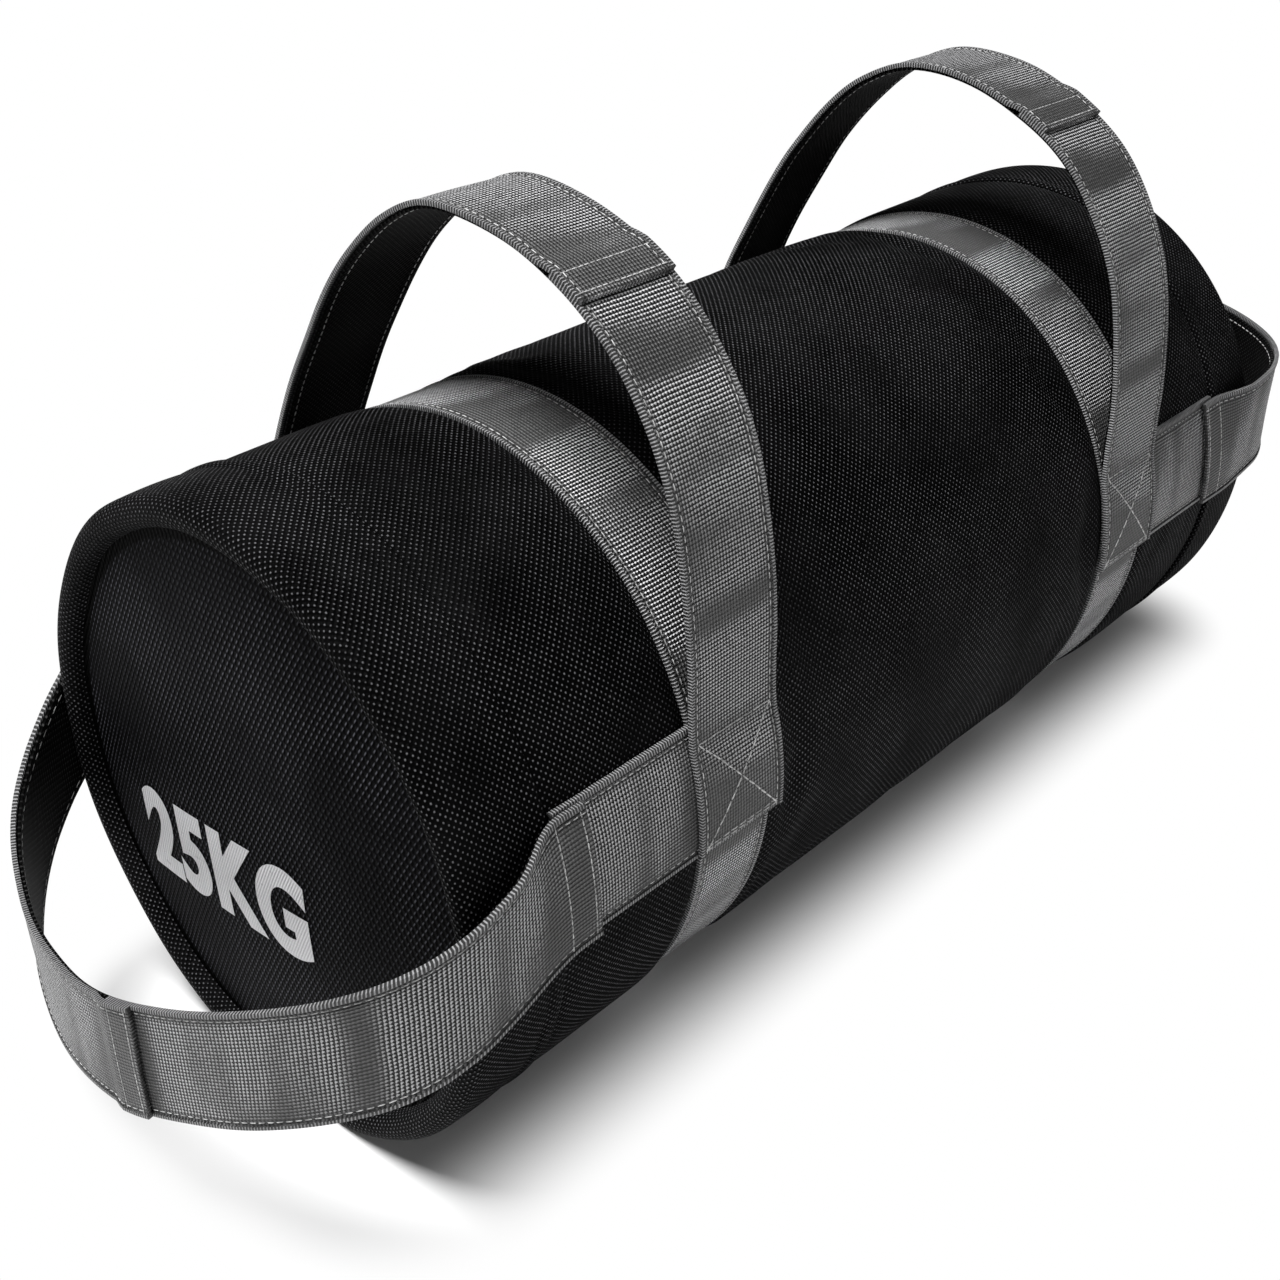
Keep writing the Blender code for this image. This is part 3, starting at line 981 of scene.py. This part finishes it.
# %% Lay the bands
def build_band(end_name, end_side):
    def surface(across, along, lift):
        angle = -along / bag_radius - math.pi / 2
        sway = 0.0004 * np.sin(along / 0.11 + end_side)
        radius = pinch_radius + layer_gap + lift
        return on_bag(end_side * band_place + across + sway, angle, radius)

    band = cut_strap(f"{end_name}_band_webbing", band_width, girth, webbing_thickness)
    lay(band, surface)
    finish_cloth(band, band_webbing)
    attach(band, "bag")
    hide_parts(f"{end_name}_band")
    thread = sew(f"{end_name}_band_stitches", edge_rows(0.0, girth, band_width), surface,
                 webbing_thickness, grey_thread)
    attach(thread, "bag")


for end_name, end_side in ends:
    build_band(end_name, end_side)

# %% [markdown]
# ## Paths for the handles and loops
# A handle keeps its width along the bag and bends in one plane, so its whole shape is one plane
# curve. The curve goes through a few chosen points, each a real place in metres, and is smooth
# between them. From its points come the place and the outward direction at any length along it.

# %% A smooth path and the surface on it
def smooth_path(points, spacing=0.001):
    """A Catmull-Rom curve through 2D points, resampled evenly: lengths, points, directions."""
    points = np.array(points, float)
    chain = np.vstack((2 * points[0] - points[1], points, 2 * points[-1] - points[-2]))
    curve = []
    for a, b, c, d in zip(chain, chain[1:], chain[2:], chain[3:]):
        t = np.linspace(0.0, 1.0, 24, endpoint=False)[:, None]
        curve.append(b + ((c - a) * t + (2 * a - 5 * b + 4 * c - d) * t ** 2
                          + (3 * b - a - 3 * c + d) * t ** 3) / 2)
    curve = np.vstack((*curve, points[-1:]))
    steps = lengths_along(curve)
    even = np.linspace(0.0, steps[-1], max(2, round(steps[-1] / spacing)))
    path = np.column_stack([np.interp(even, steps, curve[:, axis]) for axis in (0, 1)])
    tangent = np.gradient(path, axis=0)
    for _ in range(3):
        tangent[1:-1] = (tangent[:-2] + tangent[1:-1] * 2 + tangent[2:]) / 4
    tangent /= np.linalg.norm(tangent, axis=1)[:, None]
    left = np.column_stack((-tangent[:, 1], tangent[:, 0]))
    return even, path, left


def at(path, along):
    """Position and left-hand direction at these lengths along a path."""
    even, points, left = path
    place = [np.interp(along, even, points[:, axis]) for axis in (0, 1)]
    side = [np.interp(along, even, left[:, axis]) for axis in (0, 1)]
    beyond = along - np.clip(along, 0.0, even[-1])
    place[0] = place[0] + beyond * side[1]
    place[1] = place[1] - beyond * side[0]
    return place[0], place[1], side[0], side[1]


print("helpers: smooth_path, at")

# %% [markdown]
# ## The carry handles
# Each handle is two straps of webbing lapped near the grip, over a black lining. Both feet hug
# the flank, where they are sewn down through the band with a box and a cross, and the arch then
# rises free. The path below is the lining's inner face, from the front foot over the top to the
# rear foot, as points (y, height over the axis).

# %% The handle's path
foot_low = anchor_low.z - axis_height
foot_high = anchor_high.z - axis_height
foot_length = foot_high - foot_low
hug_radius = bag_radius + 0.0006
arch_front = ((-0.1113, 0.052), (-0.1110, 0.068), (-0.1092, 0.088), (-0.1060, 0.108),
              (-0.1005, 0.128), (-0.0905, 0.149), (-0.0745, 0.169), (-0.0530, 0.184),
              (-0.0275, 0.194))
arch_rear = ((0.0035, 0.1968), (0.0263, 0.1881), (0.0461, 0.1719), (0.0631, 0.1521),
             (0.0773, 0.1297), (0.0905, 0.1069), (0.1020, 0.0832), (0.1095, 0.0640),
             (0.1116, 0.0530))


def flank(height, radius):
    """How far out the bag's flank is at this height over the axis."""
    return radius * math.sqrt(1.0 - (height / (radius * height_share)) ** 2)


def handle_path():
    foot = np.linspace(foot_low, foot_high - 0.004, 5)
    front = [(-flank(height, hug_radius), height) for height in foot]
    rear = [(-y, z) for y, z in reversed(front)]
    return smooth_path([*front, *arch_front, *arch_rear, *rear])


top_path = handle_path()
top_length = top_path[0][-1]
print(f"handle strap: {top_length * 1000:.0f} mm from foot to foot")

# %% [markdown]
# The straps are laid on this path. They sway and dent a little where they rise free, and a
# strap that laps over another is lifted by the function lap_lift.

# %% The handle's surface
def top_surface(end_side, lap_lift=None):
    """Across is along the bag, along follows the arch, and lift is outwards from it."""
    def surface(across, along, lift):
        y, z, out_y, out_z = at(top_path, along)
        if lap_lift:
            lift = lift + lap_lift(along)
        free = ease((z - 0.05) / 0.05)
        sway = free * 0.0012 * np.sin(along / 0.09 + end_side * 1.3)
        lift = lift + free * 0.0004 * uneven(across, along, 0.020, end_side)
        return np.column_stack((end_side * band_place + across + sway,
                                y + out_y * lift, axis_height + z + out_z * lift))
    return surface


print("the handle's top is", round(axis_height + top_path[1][:, 1].max(), 4), "m high")

# %% [markdown]
# The feet carry the sewing that everyone looks at: a row along the top of the box, a cross, and
# a thick double row along the bottom. The rows are drawn on the flat strap, so the same
# function serves all four feet. Cross rows hold the laps.

# %% Sewing for the feet and laps
box_inset = 0.0020
box_stitch = (0.0047, 1.65)
foot_stitch = (0.0043, 1.45)
double_row_step = 0.0014
cross_pitch = 0.0028


def box_rows(foot_end, direction, width):
    """Box and cross on a foot: foot_end is its lower edge, direction points up the strap."""
    half = width / 2 - stitch_inset
    low = foot_end + direction * box_inset
    high = foot_end + direction * (foot_length - box_inset)
    rows = [stitch_row((-half, high), (half, high), *box_stitch),
            stitch_row((-half, low), (half, high), *box_stitch),
            stitch_row((half, low), (-half, high), *box_stitch)]
    for step in (0.0, double_row_step):
        place = low + direction * step
        rows.append(stitch_row((-half - 0.001, place), (half + 0.001, place), *foot_stitch))
    return rows


def cross_rows(places, width):
    half = width / 2 - stitch_inset / 2
    return [stitch_row((-half, place), (half, place), cross_pitch) for place in places]


print("box on a foot:", sum(map(len, box_rows(0.0, 1, handle_width))), "stitches")

# %% [markdown]
# A handle and an end loop are made alike. Two straps start at the feet and lap over each other,
# and the second one climbs over the end of the first. Below them lies a lining, a little
# narrower and shorter, with rows of stitches on its inner face. There the flat piece is turned
# over, so across and lift both change sign, and the thread's faces still point outwards.

# %% Build a lined strap
lap_length = 0.014
lap_ramp = 0.008
lap_row_inset = 0.0025
strap_lift = lining_thickness + layer_gap
lining_margin = 0.0030
lining_inset = 0.0030


def build_straps(end_name, end_side, kind):
    """The two webbing straps of a handle or loop, with their stitches."""
    word, length, width, blend = kind["word"], kind["length"], kind["width"], kind["blend"]
    lap_middle = length * kind["lap_share"]
    first_end = lap_middle + lap_length / 2
    second_start = lap_middle - lap_length / 2
    rear_length = length - second_start

    def over_lap(along):
        return (webbing_thickness + layer_gap) * ease((first_end + lap_ramp - along) / lap_ramp)

    front_surface = kind["surface"](end_side)
    lapped = kind["surface"](end_side, over_lap)

    def rear_surface(across, along, lift):
        return lapped(across, along + second_start, lift)

    front_rows = kind["foot_rows"](0.0, 1, width) + edge_rows(0.0, second_start, width)
    rear_rows = (kind["foot_rows"](rear_length, -1, width) + edge_rows(0.002, rear_length, width)
                 + cross_rows((lap_row_inset, lap_length - lap_row_inset), width))
    for side_word, strap_length, surface, rows in (
            ("front", first_end, front_surface, front_rows),
            ("rear", rear_length, rear_surface, rear_rows)):
        strap = cut_strap(f"{end_name}_{word}_webbing_{side_word}", width, strap_length,
                          webbing_thickness)
        lay(strap, lambda across, along, lift: surface(across, along, lift + strap_lift))
        finish_cloth(strap, kind["webbing"])
        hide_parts(*(f"{end_name}_{node}" for node in kind["nodes"](side_word)))
        blend(strap, end_name, end_side)
        thread = sew(f"{end_name}_{word}_stitches_{side_word}", rows, surface,
                     strap_lift + webbing_thickness, grey_thread)
        blend(thread, end_name, end_side)


def build_lining(end_name, end_side, kind):
    """The lining below the straps, with the stitches on its inner face."""
    word, start, blend = kind["word"], kind["lining_start"], kind["blend"]
    width = kind["width"] - lining_margin
    length = kind["length"] - 2 * start
    path_surface = kind["surface"](end_side)

    def surface(across, along, lift):
        return path_surface(across, along + start, lift)

    lining = cut_strap(f"{end_name}_{word}_lining_cloth", width, length, lining_thickness,
                       bound=False)
    lay(lining, surface)
    finish_cloth(lining, lining_nylon)
    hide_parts(f"{end_name}_{word}_lining")
    blend(lining, end_name, end_side)
    thread = sew(f"{end_name}_{word}_lining_stitches",
                 edge_rows(0.0, length, width, lining_inset),
                 lambda across, along, lift: surface(-across, along, -lift), 0.0,
                 grey_thread)
    blend(thread, end_name, end_side)


print("helpers: build_straps, build_lining")

# %% [markdown]
# The handle's straps stay sewn to the bag at their feet, and each piece keeps the place where it
# was laid: its transform is baked into its mesh.


def blend_top(piece, end_name, end_side):
    """The piece stays where it was laid: its transform is baked into its mesh."""
    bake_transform(piece)


carry_handle = {
    "word": "top", "surface": top_surface, "length": top_length, "width": handle_width,
    "lap_share": 0.40, "lining_start": foot_length + 0.004, "foot_rows": box_rows,
    "webbing": handle_webbing, "blend": blend_top,
    "nodes": lambda side_word: (f"top_strap_{side_word}", f"{side_word}_anchor")}

for end_name, end_side in ends:
    build_straps(end_name, end_side, carry_handle)
    build_lining(end_name, end_side, carry_handle)

# %% [markdown]
# ## The stubs along the flank
# A short strap runs from under each handle's foot to the end of the bag. It lies on the curved
# flank, so it bends across its width as well, and the end loop is sewn over its outer end.

# %% Lay the stubs
stub_tuck = 0.020
stub_start = stub_low.x - stub_tuck


def flank_surface(end_side, side):
    """Along runs outwards along the bag, and across runs up or down the round flank."""
    def surface(across, along, lift):
        radius = bag_radius + layer_gap + lift
        rise = loop_height + end_side * side * across
        angle = np.arcsin(np.clip(rise / (radius * height_share), -1.0, 1.0))
        return np.column_stack((end_side * (stub_start + along),
                                side * radius * np.cos(angle), axis_height + rise))
    return surface


def build_stub(end_name, end_side, side_word, side):
    surface = flank_surface(end_side, side)
    length = stub_end - stub_start
    stub = cut_strap(f"{end_name}_{side_word}_stub_webbing", loop_width, length,
                     webbing_thickness)
    lay(stub, surface)
    finish_cloth(stub, loop_webbing)
    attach(stub, "bag")
    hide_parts(f"{end_name}_{side_word}_stub")
    thread = sew(f"{end_name}_{side_word}_stub_stitches", edge_rows(0.0, length, loop_width),
                 surface, webbing_thickness, grey_thread)
    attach(thread, "bag")


for end_name, end_side in ends:
    for side_word, side in (("front", -1), ("rear", 1)):
        build_stub(end_name, end_side, side_word, side)

# %% [markdown]
# ## The end loops
# The loop is lined webbing like the handles, lapped at its tip. It starts flat on the flank over
# the stub, leaves the bag, goes round past the end and comes back on the other side. Its path is
# drawn in plan. Near the bag its width follows the round flank, and further out it stands
# straight. The near loop hangs down, and lower at its rear than at its front, while the far
# loop stands a little up. The fall of a point depends only on its place on the path, so the
# layers of the strap stay flush.

# %% The loop's path
loop_start = stub_end - 0.012
loop_root = abs(loop_hinge.x)
loop_reach = 0.106
loop_plan_shares = ((0.170, 1.022), (0.340, 1.026), (0.450, 1.018), (0.575, 0.975),
                    (0.695, 0.885), (0.810, 0.735), (0.900, 0.545), (0.964, 0.330),
                    (1.000, 0.110))
plane_radius = bag_radius + 0.0006 + webbing_thickness


def loop_path():
    """Plan of the lining's inner face: (distance out from the middle, y)."""
    near_bag = [(loop_start + step, -plane_radius) for step in (0.0, 0.006, 0.012)]
    arm = [(loop_root + out * loop_reach, -y * bag_radius) for out, y in loop_plan_shares]
    half = near_bag + arm
    return smooth_path(half + [(out, -y) for out, y in reversed(half)])


plan_path = loop_path()
loop_length = plan_path[0][-1]
print(f"end loop strap: {loop_length * 1000:.0f} mm from seam to seam")

# %% [markdown]
# A loop's fall starts softly behind the line where it bends, and then goes on as a straight
# slope. The skew makes it fall more at its rear than at its front.

# %% The loop's surface
loop_bend = 0.020
loop_droops = {-1: math.radians(36.0), 1: math.radians(-8.0)}
loop_skews = {-1: 0.46, 1: 0.0}
loop_straightening = 0.026


def loop_fall(end_side, out, y):
    """How far a point of the path has come down, past the line where the loop bends."""
    past = np.maximum(out - loop_root, 0.0)
    bent = np.minimum(past, loop_bend)
    run = bent ** 2 / (2.0 * loop_bend) + past - bent
    return run * math.tan(loop_droops[end_side]) * (1.0 + loop_skews[end_side] * y / bag_radius)


def loop_surface(end_side, lap_lift=None):
    def surface(across, along, lift):
        out, y, side_out, side_y = at(plan_path, along)
        fall = loop_fall(end_side, out, y)
        if lap_lift:
            lift = lift + lap_lift(along)
        lift = lift + 0.0004 * uneven(across, along, 0.018, 7.0 + end_side)
        reach = out - side_out * lift
        rise = loop_height - end_side * across
        straight = ease((reach - stub_end) / loop_straightening)
        drop = np.sqrt(1.0 - np.clip(rise / (plane_radius * height_share), -1.0, 1.0) ** 2)
        y = (y - side_y * lift) * (straight + (1.0 - straight) * drop)
        return np.column_stack((end_side * reach, y, axis_height + rise - fall))
    return surface


print("the loops reach", round(plan_path[1][:, 0].max(), 4), "m from the bag's middle")

# %% [markdown]
# The loop's feet are two plain rows of stitches across the strap, where it is sewn to the stub.
# Each piece of the loop keeps the place where it was laid.

# %% Build the end loops
seam_steps = (0.0025, 0.0140)


def seam_rows(foot_end, direction, width):
    return cross_rows([foot_end + direction * step for step in seam_steps], width)


def blend_loop(piece, end_name, end_side):
    """The sewn ends stay on the bag: the piece's transform is baked into its mesh."""
    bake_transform(piece)


end_loop = {
    "word": "loop", "surface": loop_surface, "length": loop_length, "width": loop_width,
    "lap_share": 0.46, "lining_start": 0.016, "foot_rows": seam_rows,
    "webbing": loop_webbing, "blend": blend_loop,
    "nodes": lambda side_word: (f"loop_strap_{side_word}",)}

for end_name, end_side in ends:
    build_straps(end_name, end_side, end_loop)
    build_lining(end_name, end_side, end_loop)

# %% [markdown]
# ## The weight mark
# The weight is printed on the near panel in plain bold letters: a number and its unit. The text
# is made a mesh, cut into small faces so that it can bend, and laid just over the domed cloth.

# %% Cut out the letters
mark_height = 0.040
mark_width = 0.106
mark_cell = 0.004
mark_slant = 0.10
mark_boldness = 0.043
mark_narrowing = 0.74


def cut_letters():
    """Bold letters as a flat mesh, centred and cut into a grid of small cells."""
    deselect_all()
    bpy.ops.object.text_add()
    letters = bpy.context.object
    letters.name = "weight_mark"
    letters.data.body = "25KG"
    letters.data.space_character = 1.10
    letters.data.shear = mark_slant
    letters.data.resolution_u = 8
    bpy.ops.object.convert(target="CURVE")
    letters = bpy.context.object
    letters.scale = (mark_narrowing, 1.0, 1.0)
    bpy.ops.object.transform_apply(location=False, rotation=False, scale=True)
    letters.data.offset = mark_boldness
    bpy.ops.object.convert(target="MESH")
    mark = bpy.context.object
    corners = corner_places(mark)
    low, high = corners.min(0), corners.max(0)
    scale = (mark_width / (high[0] - low[0]), mark_height / (high[1] - low[1]), 1.0, 1.0)
    mark.data.transform(Matrix.Translation((-(low[0] + high[0]) / 2,
                                            -(low[1] + high[1]) / 2, 0.0)))
    mark.data.transform(Matrix.Diagonal(scale))
    merge_corners(mark, 0.00002)
    bpy.ops.object.mode_set(mode="EDIT")
    for size, normal in ((mark_width, Vector((1.0, 0.0, 0.0))),
                         (mark_height, Vector((0.0, 1.0, 0.0)))):
        for index in range(1, round(size / mark_cell)):
            bpy.ops.mesh.select_all(action="SELECT")
            bpy.ops.mesh.bisect(plane_co=normal * (index * mark_cell - size / 2),
                                plane_no=normal)
    bpy.ops.object.mode_set(mode="OBJECT")
    return mark


weight_mark = cut_letters()
print("weight mark:", len(weight_mark.data.polygons), "faces")

# %% [markdown]
# The ink is nearly white, with a painted highlight that makes it paler on the raised floats of
# the weave, and fine dark specks of wear. It lies on the panel's own surface, a little turned
# and below the middle.

# %% Print the weight mark
mark_middle = (0.0213, -0.027)
mark_turn = math.radians(-5.0)
ink_lift = 0.00035


def ink_material():
    material, tree, shader = start_material("mark_ink", 0.55, specular=0.2)
    weave = place_group(tree, twill, rib=0.0012, dash=0.0020)
    used = place_group(tree, wear, patch_scale=60.0)
    # Painted highlight: the ink is paler on the raised floats of the weave.
    colour = mix_colour(tree, weave["Float highlights"], grey(0.84, 1.02), grey(0.97, 1.0))
    colour = mix_colour(tree, used["Specks"], colour, grey(0.16), 0.4)
    finish_material(tree, shader, colour, weave["Height"], 0.00012)
    return material


def mark_surface(across, along, lift):
    y = mark_middle[0] - across * math.cos(mark_turn) - along * math.sin(mark_turn)
    z = mark_middle[1] + along * math.cos(mark_turn) - across * math.sin(mark_turn)
    place = panel_place(-1, -y, z / height_share) + ink_lift
    return np.column_stack((-place, y, axis_height + z))


write_flat_uv(weight_mark)
lay(weight_mark, mark_surface)
finish_cloth(weight_mark, ink_material(), 60.0)
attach(weight_mark, "bag")
print("weight mark laid on the near panel")

# %% [markdown]
# ## What is inside
# The liner, its tie and the sand stay as the frame has them, because the shell hides them. They
# still get their own finishes, so that a cut or opened bag looks right.

# %% Finishes for the inner pieces
def grain_material(name, low, high, scale, depth, roughness):
    material, tree, shader = start_material(name, roughness)
    grain = noise(tree, object_place(tree), scale, 3.0)
    colour = mix_colour(tree, soft_step(tree, grain, 0.35, 0.65), low, high)
    finish_material(tree, shader, colour, grain, depth)
    return material


inner_finishes = {
    "inner_liner": grain_material("liner_fabric", grey(0.38), grey(0.50), 700.0, 0.0002, 0.6),
    "liner_tie": grain_material("tie_nylon", grey(0.50), grey(0.66), 300.0, 0.0001, 0.4),
    "sand_filling": grain_material("sand", (0.30, 0.22, 0.13, 1.0), (0.55, 0.45, 0.30, 1.0),
                                   1500.0, 0.0005, 0.9),
}
for node_name, material in inner_finishes.items():
    node = frame["nodes"][node_name]
    node.data.materials.clear()
    node.data.materials.append(material)
    print(node_name, "has", material.name)

# %% [markdown]
# ## Floor, light and camera
# The stage is plain: a white floor that fades into a white world, one large soft light from the
# upper left and a weaker one from the front. The world and the floor are white to the camera
# because of their own colour, and not because of more light on the bag. Further out the floor
# turns into plain white, so that it has no edge, and near the bag it keeps the shadow.

# %% Floor and world
shadow_area = (0.265, 0.060)
shadow_fade = (0.002, 0.066)
fade_power = 1.3
floor_glow = 0.01
world_level = 0.065


def seen_directly(tree):
    """1 for a ray from the eye and 0 for light on its way between things."""
    path = add_node(tree, "LightPath")
    return calculate(tree, "MAXIMUM", path.outputs["Is Camera Ray"],
                     path.outputs["Is Transmission Ray"])


def floor_fade(tree):
    """0 on and close to the area that keeps its shadow, and 1 further out."""
    split = add_node(tree, "SeparateXYZ", {0: object_place(tree)})
    gaps = []
    for output, reach in zip(split.outputs, shadow_area):
        past = calculate(tree, "SUBTRACT", calculate(tree, "ABSOLUTE", output), reach)
        gaps.append(calculate(tree, "MAXIMUM", past, 0.0))
    square = calculate(tree, "MULTIPLY", gaps[0], gaps[0])
    square = calculate(tree, "MULTIPLY_ADD", gaps[1], gaps[1], square)
    fade = soft_step(tree, calculate(tree, "SQRT", square), *shadow_fade)
    return calculate(tree, "POWER", fade, fade_power)


def build_floor():
    deselect_all()
    bpy.ops.mesh.primitive_plane_add(size=12.0, location=(0.0, 0.0, -0.0002))
    floor = bpy.context.object
    floor.name = "floor"
    material = bpy.data.materials.new("floor_white")
    material.use_nodes = True
    tree = material.node_tree
    tree.nodes.clear()
    matt = add_node(tree, "BsdfDiffuse", {"Color": grey(0.94)})
    seen = seen_directly(tree)
    glow = add_node(tree, "Emission", {"Color": grey(1.0),
                                       "Strength": calculate(tree, "MULTIPLY", seen, floor_glow)})
    both = add_node(tree, "AddShader", {0: matt.outputs[0], 1: glow.outputs[0]})
    white = add_node(tree, "Emission", {"Color": grey(1.0), "Strength": 1.0})
    fade = calculate(tree, "MULTIPLY", floor_fade(tree), seen)
    faded = add_node(tree, "MixShader", {0: fade, 1: both.outputs[0], 2: white.outputs[0]})
    add_node(tree, "OutputMaterial", {"Surface": faded.outputs[0]})
    floor.data.materials.append(material)


def build_world():
    world = bpy.data.worlds.new("white_world")
    world.use_nodes = True
    bpy.context.scene.world = world
    tree = world.node_tree
    back = tree.nodes["Background"]
    back.inputs["Color"].default_value = grey(1.0)
    strength = calculate(tree, "MULTIPLY_ADD", seen_directly(tree), 1.0 - world_level,
                         world_level)
    tree.links.new(strength, back.inputs["Strength"])


build_floor()
build_world()
print("floor and world ready")

# %% [markdown]
# Both lamps are soft discs that look at the middle of the bag. Each has a name, its place, its
# size in metres and its power in watts.

# %% Lamps
lamps = (("key", (-0.72, 0.28, 2.05), 0.9, 57.0), ("fill", (0.10, -1.85, 0.50), 0.9, 4.6))
lamp_target = Vector((0.0, 0.0, 0.1))

for lamp_name, place, size, power in lamps:
    lamp_data = bpy.data.lights.new(lamp_name, "AREA")
    lamp_data.shape = "DISK"
    lamp_data.size = size
    lamp_data.energy = power
    lamp = bpy.data.objects.new(lamp_name, lamp_data)
    lamp.location = place
    lamp.rotation_euler = (lamp_target - Vector(place)).to_track_quat("-Z", "Y").to_euler()
    bpy.context.scene.collection.objects.link(lamp)
    print(lamp_name, "lamp:", power, "W")

# %% [markdown]
# The camera stands in front and to the left, a little above the bag. Its direction is given by
# two angles and its place by the point it looks at and the distance to it.

# %% Camera
camera_turn = math.radians(47.61)
camera_drop = math.radians(31.22)
camera_target = Vector((-0.0613, 0.0, 0.1073))
camera_distance = 0.7123
camera_lens = 46.75

forward = Vector((math.sin(camera_turn) * math.cos(camera_drop),
                  math.cos(camera_turn) * math.cos(camera_drop), -math.sin(camera_drop)))
camera_data = bpy.data.cameras.new("camera")
camera_data.lens = camera_lens
camera_data.sensor_width = 36.0
camera = bpy.data.objects.new("camera", camera_data)
camera.location = camera_target - forward * camera_distance
camera.rotation_euler = forward.to_track_quat("-Z", "Y").to_euler()
bpy.context.scene.collection.objects.link(camera)
bpy.context.scene.camera = camera
bpy.context.scene.view_settings.view_transform = "Standard"
print("camera at", [round(part, 3) for part in camera.location])
